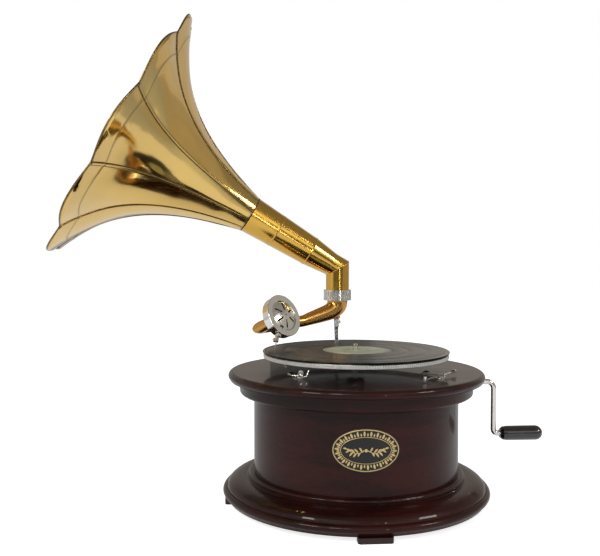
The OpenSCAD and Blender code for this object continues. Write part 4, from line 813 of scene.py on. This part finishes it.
def drum_ribbon(path, width, height, closed=False):
    """A raised line along a path of (across, up) on the badge; width is a function of the share along it."""
    rows = []
    last = len(path) - 1
    for i, p in enumerate(path):
        before = path[i - 1] if closed or i > 0 else p
        after = path[(i + 1) % len(path)] if closed or i < last else p
        t = (Vector(after) - Vector(before)).normalized()
        side = Vector((-t.y, t.x)) * width(i / last)
        row = []
        for share, out in ((-0.5, -0.3), (-0.5, 0.5 * height), (-0.25, height), (0.25, height), (0.5, 0.5 * height),
                           (0.5, -0.3)):
            q = Vector(p) + side * share
            row.append(on_drum(q.x, q.y, out))
        rows.append(row)
    return lattice(rows, along=True) if closed else tube(rows)


def leaf_width(ends, middle, stretch, start, roundness):
    """The width of a leaf or petal along its length."""
    return lambda t: ends + middle * math.sin(math.pi * min(1, t * stretch + start)) ** roundness


class MakeBadge(bpy.types.Operator):
    """Make the badge's raised oval borders and a plain leaf ornament inside"""

    bl_idname = "gramophone.make_badge"
    bl_label = "Badge"

    def execute(self, context):
        looks = context.scene.gramophone_cabinet
        gilt = bright_finish("badge gilt", looks.badge_line, 0.3)
        line = looks.line / MM
        shapes = [self.border(1.6, line), self.border(INNER_BORDER, line * 0.6)]
        shapes += self.petal_row() + self.leaves() + [self.boss()]
        make_piece("badge_border", shells(*shapes), gilt, "cabinet", sharp=50)
        return {"FINISHED"}

    def oval_point(self, inset, c, s):
        return (BADGE_W / 2 - inset) * c, (BADGE_H / 2 - inset) * s

    def border(self, inset, width):
        oval = [self.oval_point(inset, c, s) for c, s in circle(120)]
        return drum_ribbon(oval, lambda t: width, LINE_H, closed=True)

    def petal_row(self):
        """A row of small upright petals between the two borders, every other one short."""
        petals = []
        for k, (c, s) in enumerate(circle(52, 0.5)):
            tall, wide = (6.0, 2.3) if k % 2 else (3.6, 1.5)
            out = Vector((BADGE_H * c, BADGE_W * s)).normalized()
            foot = Vector(self.oval_point(INNER_BORDER - 1.2, c, s))
            path = [foot + out * tall * i / 8 for i in range(9)]
            petals.append(drum_ribbon(path, leaf_width(0.2, wide, 0.9, 0.06, 0.7), LEAF_H))
        return petals

    def leaves(self):
        """A plain spray of leaves, the same on both sides."""
        shapes = []
        for side in (-1, 1):
            def stem(t):
                return side * (2 + 21 * t), -3.5 * math.sin(t * math.pi * 1.15)

            shapes.append(drum_ribbon([stem(i / 24) for i in range(25)], lambda t: 0.9 - 0.5 * t, LINE_H))
            for t, lean, reach in LEAVES:
                x, y = stem(t)
                c, s = math.cos(math.radians(lean)), math.sin(math.radians(lean))
                leaf = [(x + side * reach * u * c, y + reach * (u * s + 0.12 * math.sin(math.pi * u)))
                        for u in [i / 10 for i in range(11)]]
                shapes.append(drum_ribbon(leaf, leaf_width(0.12, 2.1, 0.95, 0.02, 0.8), LEAF_H))
        return shapes

    def boss(self):
        """The low round boss between the two sprays."""
        profile = ((2.0, -0.2), (2.0, 0.2), (1.3, 0.45), (0.1, 0.55))
        return tube([[on_drum(r * c, r * s, out) for c, s in circle(20)] for r, out in profile])


# ---- finishes of the solids that stay

NICKEL = ("wood_screws crank_bush motor_bolts speed_plate speed_lever brake_post brake_wire crank_rod arm_bracket "
          "horn_ring spindle needle_bar needle_screw needle").split()
STEEL = ("motor_top_plate motor_bottom_plate motor_pillars winding_arbor winding_shaft governor_shaft governor_disc "
         "governor_brake").split()
GEARS = "motor_bearings crown_wheel intermediate_gear spindle_wheel governor_weights".split()
# Black for the platter's bottom face: painted shade.
UNDERSIDE_SHADE_BLACK = (0.008, 0.008, 0.008)

# Plain finishes: their name, colour, roughness and grain, and where given its depth and how metallic they are
PLAIN = {
    "feet": ("foot lacquer", (0.028, 0.0075, 0.006), 0.3, 60),
    "bottom_panel": ("panel wood", (0.26, 0.16, 0.08), 0.7, 60, 0.0003),
    "turntable_mat": ("felt", (0.05, 0.11, 0.045), 0.95, 700, 0.0004),
    "motor_spacers": ("rubber", (0.015, 0.015, 0.015), 0.8, 300),
    "mainspring": ("spring steel", (0.12, 0.13, 0.16), 0.3, 200, 0.00015, 1.0),
    "soundbox_gaskets": ("red rubber", (0.22, 0.03, 0.02), 0.75, 300),
    "diaphragm": ("mica", (0.30, 0.27, 0.20), 0.2, 30, 0.0001),
    "spring_barrel": ("barrel steel", (0.30, 0.30, 0.29), 0.42, 80, 0.00015, 1.0),
    "barrel_cover": ("barrel cover steel", (0.34, 0.34, 0.33), 0.4, 80, 0.00015, 1.0),
}
MOTOR_STEEL = ("motor steel", (0.36, 0.36, 0.35), 0.36, 120, 0.0001, 1.0)
MOTOR_BRASS = ("gear brass", (0.55, 0.37, 0.12), 0.32, 90, 0.0001, 1.0)


class DressSolids(bpy.types.Operator):
    """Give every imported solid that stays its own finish"""

    bl_idname = "gramophone.dress_solids"
    bl_label = "Finishes of the solids"

    def execute(self, context):
        cabinet, deck = context.scene.gramophone_cabinet, context.scene.gramophone_deck
        round_wood = wood_finish("turned mahogany", cabinet, True)
        box = bright_finish("sound box plate", scaled(deck.nickel, 1.08), 0.16)
        finishes = {name: plain_finish(*values) for name, values in PLAIN.items()}
        finishes |= {
            "plinth": round_wood, "lid_ring": round_wood, "soundbox_body": box, "soundbox_cover": box,
            "top_board": wood_finish("mahogany board", cabinet, False),
            "drum_wall": wood_finish("drum veneer", cabinet, True, lighter=1.12),
            "badge_plate": plain_finish("badge ground", cabinet.badge, 0.3, 300, 0.00003),
            "turntable": self.platter_finish(deck), "crank_grip": self.grip_finish(deck),
        }
        finishes |= dict.fromkeys(NICKEL, bright_finish("nickel", deck.nickel, 0.14))
        finishes |= dict.fromkeys(STEEL, plain_finish(*MOTOR_STEEL))
        finishes |= dict.fromkeys(GEARS, plain_finish(*MOTOR_BRASS))
        replaced = {n for o in bpy.context.scene.objects for n in o.get("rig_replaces", [])}
        for name, solid in frame["nodes"].items():
            if name not in replaced:
                solid.data.materials.clear()
                solid.data.materials.append(finishes[name].material)
        return {"FINISHED"}

    def platter_finish(self, deck):
        """Plated on the rim and on top, and black and not metallic underneath: painted shade under the platter."""
        f = Finish("platter nickel", coat_weight=0.1, coat_roughness=0.1)
        at = f.place()
        _, _, z = f.parts(at)
        # Painted shade: on its bottom face the platter turns black and not metallic.
        shaded_underside = 1 - z.step((PLATTER_BOTTOM + 0.1) * MM, (PLATTER_BOTTOM + 0.3) * MM)
        wear = f.noise(at, 60, detail=5, roughness=0.7).step(0.5, 0.75)
        plated = f.mix(wear * 0.5, scaled(deck.platter, 0.55), scaled(deck.platter, 0.35))
        f.set("Base Color", f.mix(shaded_underside, plated, UNDERSIDE_SHADE_BLACK))
        f.set("Metallic", 1 - shaded_underside)
        f.set("Roughness", shaded_underside * 0.3 + (wear * 0.1 + 0.26))
        f.bump(f.noise(at, 90, detail=2), 0.0002)
        return f

    def grip_finish(self, deck):
        """Black lacquer with slow waves and lighter marks."""
        f = Finish("grip lacquer", coat_weight=1.0, coat_roughness=0.05)
        at = f.place()
        mark = f.noise(at, 80, detail=4)
        f.set("Base Color", f.mix(mark.step(0.4, 0.8), deck.grip, scaled(deck.grip, 2.5)))
        f.set("Roughness", mark * 0.15 + 0.12)
        f.bump(f.noise(at, 25, detail=1), 0.0002)
        return f


# ---- the stage

def upright(x0, y0, x1, y1, low, high, lean=(0, 0)):
    """The corners of an upright panel over a line on the floor; lean moves its upper edge."""
    return [(x0, y0, low), (x1, y1, low), (x1 + lean[0], y1 + lean[1], high), (x0 + lean[0], y0 + lean[1], high)]


def level(x0, y0, x1, y1, height):
    """The corners of a level panel."""
    return [(x0, y0, height), (x1, y0, height), (x1, y1, height), (x0, y1, height)]


class MakeStage(bpy.types.Operator):
    """Make the floor, the lamps, the dim room that the brass mirrors, and the camera"""

    bl_idname = "gramophone.make_stage"
    bl_label = "Stage"
    back, front, side, foot, ceiling = 3.6, -3.2, 3.8, -0.02, 2.6
    floor_half = 6.0
    dark_wall, bright_wall, black_patch = (0.11, 0.105, 0.095), (0.92, 0.9, 0.84), (0.05, 0.048, 0.045)

    def execute(self, context):
        looks = context.scene.gramophone_stage
        self.make_world()
        self.make_floor(looks)
        self.make_room()
        self.make_light_boxes()
        self.make_lamps()
        camera = bpy.data.objects.new("camera", bpy.data.cameras.new("camera"))
        camera.data.lens, camera.data.sensor_width = looks.lens, 36
        camera.data.clip_start, camera.data.clip_end = 0.05, 50
        camera.location, camera.rotation_euler = looks.camera_place, looks.camera_turn
        context.scene.collection.objects.link(camera)
        context.scene.camera = camera
        context.scene.view_settings.view_transform = "Standard"
        return {"FINISHED"}

    def make_world(self):
        """White behind the object for the camera, and a softer grey that lights it and that it mirrors."""
        world = bpy.data.worlds.new("studio")
        world.use_nodes = True
        bpy.context.scene.world = world
        world.node_tree.nodes.clear()
        sky = Nodes(world.node_tree)
        soft = sky.add("ShaderNodeBackground", sockets={"Color": (0.92, 0.94, 1.0), "Strength": 0.42})
        white = sky.add("ShaderNodeBackground", sockets={"Color": (1, 1, 1), "Strength": 1.0})
        both = sky.add("ShaderNodeMixShader", sockets={0: sky.seen_by("Camera"), 1: soft, 2: white})
        sky.add("ShaderNodeOutputWorld", sockets={"Surface": both})

    def flat(self, name, corners, finish):
        """One flat piece of the stage."""
        mesh = bpy.data.meshes.new(name)
        mesh.from_pydata(corners, [], [(0, 1, 2, 3)])
        mesh.materials.append(finish.material)
        piece = bpy.data.objects.new(name, mesh)
        bpy.context.scene.collection.objects.link(piece)
        return piece

    def panel(self, name, corners, finish, glow, strength=1.0):
        """A plain glowing panel that only mirrors see."""
        finish.set("Base Color", (0, 0, 0))
        finish.set("Emission Color", glow)
        finish.set("Emission Strength", strength)
        piece = self.flat(name, corners, finish)
        piece.visible_camera = piece.visible_diffuse = piece.visible_shadow = piece.visible_transmission = False

    def make_room(self):
        """The walls and the ceiling of a dim room; its front wall is dark below, with a ragged edge."""
        back, front, side, foot, ceiling = self.back, self.front, self.side, self.foot, self.ceiling
        for name, corners, shade in (
            ("room_ceiling", level(-side, front, side, back, ceiling), (0.24, 0.22, 0.19)),
            ("room_left", upright(-side, front, -side, back, foot, ceiling), (0.66, 0.61, 0.54)),
            ("room_right", upright(side, front, side, back, foot, ceiling), (0.38, 0.345, 0.30)),
            ("room_back", upright(-side, back, side, back, foot, ceiling), (0.50, 0.455, 0.40)),
        ):
            f = Finish(name, roughness=1.0)
            cloud = f.noise(f.place(), 0.9, detail=1.5)
            self.panel(name, corners, f, f.mix(cloud, scaled(shade, 0.8), scaled(shade, 1.2)))
        f = Finish("room_front", roughness=1.0)
        at = f.place()
        _, _, z = f.parts(at)
        ragged = f.noise(f.stretched(at, (1, 1, 1.4)), 1.5, detail=3, roughness=0.6, distortion=0.8)
        light = (z + (ragged - 0.5) * 1.1).step(0.92, 0.96)
        patch = f.noise(f.stretched(at, (1, 1, 0.8)), 1.1, detail=3.5, roughness=0.55, distortion=1.2).step(0.57, 0.6)
        wall = f.mix(light, self.dark_wall, f.mix(patch * 0.9, self.bright_wall, self.black_patch))
        self.panel("room_front", upright(-side, front, side, front, foot, ceiling), f, wall)

    def make_light_boxes(self):
        """Bright boxes above the camera, narrow upright ones and a dark doorway, for streaks on metal and wood."""
        before_front, before_left, before_back = self.front + 0.02, -self.side + 0.02, self.back - 0.03
        for name, corners, strength in (
            ("box_left", upright(-2.45, -1.65, -1.85, -2.25, 1.6, 2.05, lean=(0.1, 0.1)), 20.0),
            ("box_near_left", upright(-1.45, -2.55, -1.0, -2.8, 1.7, 2.0, lean=(0.04, 0.08)), 22.0),
            ("box_right", upright(2.25, -1.85, 2.65, -1.15, 1.5, 1.95, lean=(-0.1, 0.05)), 22.0),
            ("box_row", upright(-1.9, self.front + 0.03, 2.2, self.front + 0.03, 1.4, 1.7), 1.7),
            ("box_upright", upright(0.93, before_front, 1.01, before_front, 0, 1.3), 12.0),
            ("box_side", upright(before_left, -1.54, before_left, -1.42, 0, 1.3), 2.0),
            ("dark_doorway", upright(0.0, before_back, 0.6, before_back, 0.2, 1.2), 0.14),
        ):
            f = Finish(name, roughness=1.0)
            soft = f.noise(f.place(), 3, detail=1)
            self.panel(name, corners, f, f.mix(soft, (1, 0.93, 0.82), (1, 0.98, 0.93)), strength)

    def make_floor(self, looks):
        """A pale floor that the camera sees as white where no shadow falls."""
        f = Finish("floor", roughness=1.0, specular_ior_level=0.0)
        f.set("Base Color", looks.floor)
        none = f.add("ShaderNodeEmission", sockets={"Color": (0, 0, 0), "Strength": 0.0})
        lift = f.add("ShaderNodeEmission", sockets={"Color": (1, 1, 1), "Strength": looks.lift})
        ragged = f.noise(f.place(), 2.2, detail=3, distortion=0.6)
        near = 1 - (f.from_axis() + (ragged - 0.5) * 0.9).step(1.35, 1.4)
        mirrored = f.add("ShaderNodeEmission", sockets={"Color": (1, 0.97, 0.92), "Strength": near * 0.3 - 0.04})
        unseen = f.add("ShaderNodeMixShader", sockets={0: f.seen_by("Glossy"), 1: none, 2: mirrored})
        glow = f.add("ShaderNodeMixShader", sockets={0: f.seen_by("Camera"), 1: unseen, 2: lift})
        both = f.add("ShaderNodeAddShader", sockets={0: Reading(f, f.surface.outputs[0]), 1: glow})
        f.fill(f.tree.nodes["Material Output"], {"Surface": both})
        half = self.floor_half
        self.flat("floor", level(-half, -half, half, half, 0), f)

    def make_lamps(self):
        """A broad lamp high on the left, a fill on the right and a long strip over the camera."""
        middle = Vector((-0.05, 0.03, 0.3))
        for name, place, width, height, power in (
            ("key", (-1.6, -1.9, 2.0), 1.1, 1.1, 20),
            ("fill", (2.0, -1.3, 1.5), 0.9, 1.2, 9),
            ("strip", (-0.9, -2.4, 1.9), 0.7, 0.16, 4),
        ):
            lamp = bpy.data.lights.new(name, "AREA")
            lamp.shape, lamp.size, lamp.size_y, lamp.energy = "RECTANGLE", width, height, power
            light = bpy.data.objects.new(name, lamp)
            light.location = place
            light.rotation_euler = (middle - Vector(place)).to_track_quat("-Z", "Y").to_euler()
            light.visible_glossy = name == "strip"
            bpy.context.scene.collection.objects.link(light)


class GramophonePanel(bpy.types.Panel):
    """Lists the gramophone's steps and looks in the sidebar"""

    bl_label = "Horn gramophone"
    bl_idname = "GRAMOPHONE_PT_steps"
    bl_space_type = "VIEW_3D"
    bl_region_type = "UI"
    bl_category = "Gramophone"

    def draw(self, context):
        for step in STEPS:
            self.layout.operator(step.bl_idname)
        for group in GROUPS:
            looks = getattr(context.scene, group)
            box = self.layout.box()
            for key in looks.__annotations__:
                box.prop(looks, key)


GROUPS = {"gramophone_horn": HornLooks, "gramophone_cabinet": CabinetLooks, "gramophone_deck": DeckLooks,
          "gramophone_stage": StageLooks}
STEPS = (MakeHorn, MakeToneArm, MakeTurntable, MakeBadge, DressSolids, MakeStage)
CLASSES = (*GROUPS.values(), *STEPS, GramophonePanel)


def register():
    for kind in CLASSES:
        bpy.utils.register_class(kind)
    for name, group in GROUPS.items():
        setattr(bpy.types.Scene, name, PointerProperty(type=group))


def unregister():
    for name in GROUPS:
        delattr(bpy.types.Scene, name)
    for kind in reversed(CLASSES):
        bpy.utils.unregister_class(kind)


def main():
    register()
    for step in STEPS:
        family, action = step.bl_idname.split(".")
        if getattr(getattr(bpy.ops, family), action)() != {"FINISHED"}:
            raise RuntimeError(f"{step.bl_label} did not finish")
    bpy.context.view_layer.update()


if __name__ == "__main__":
    main()
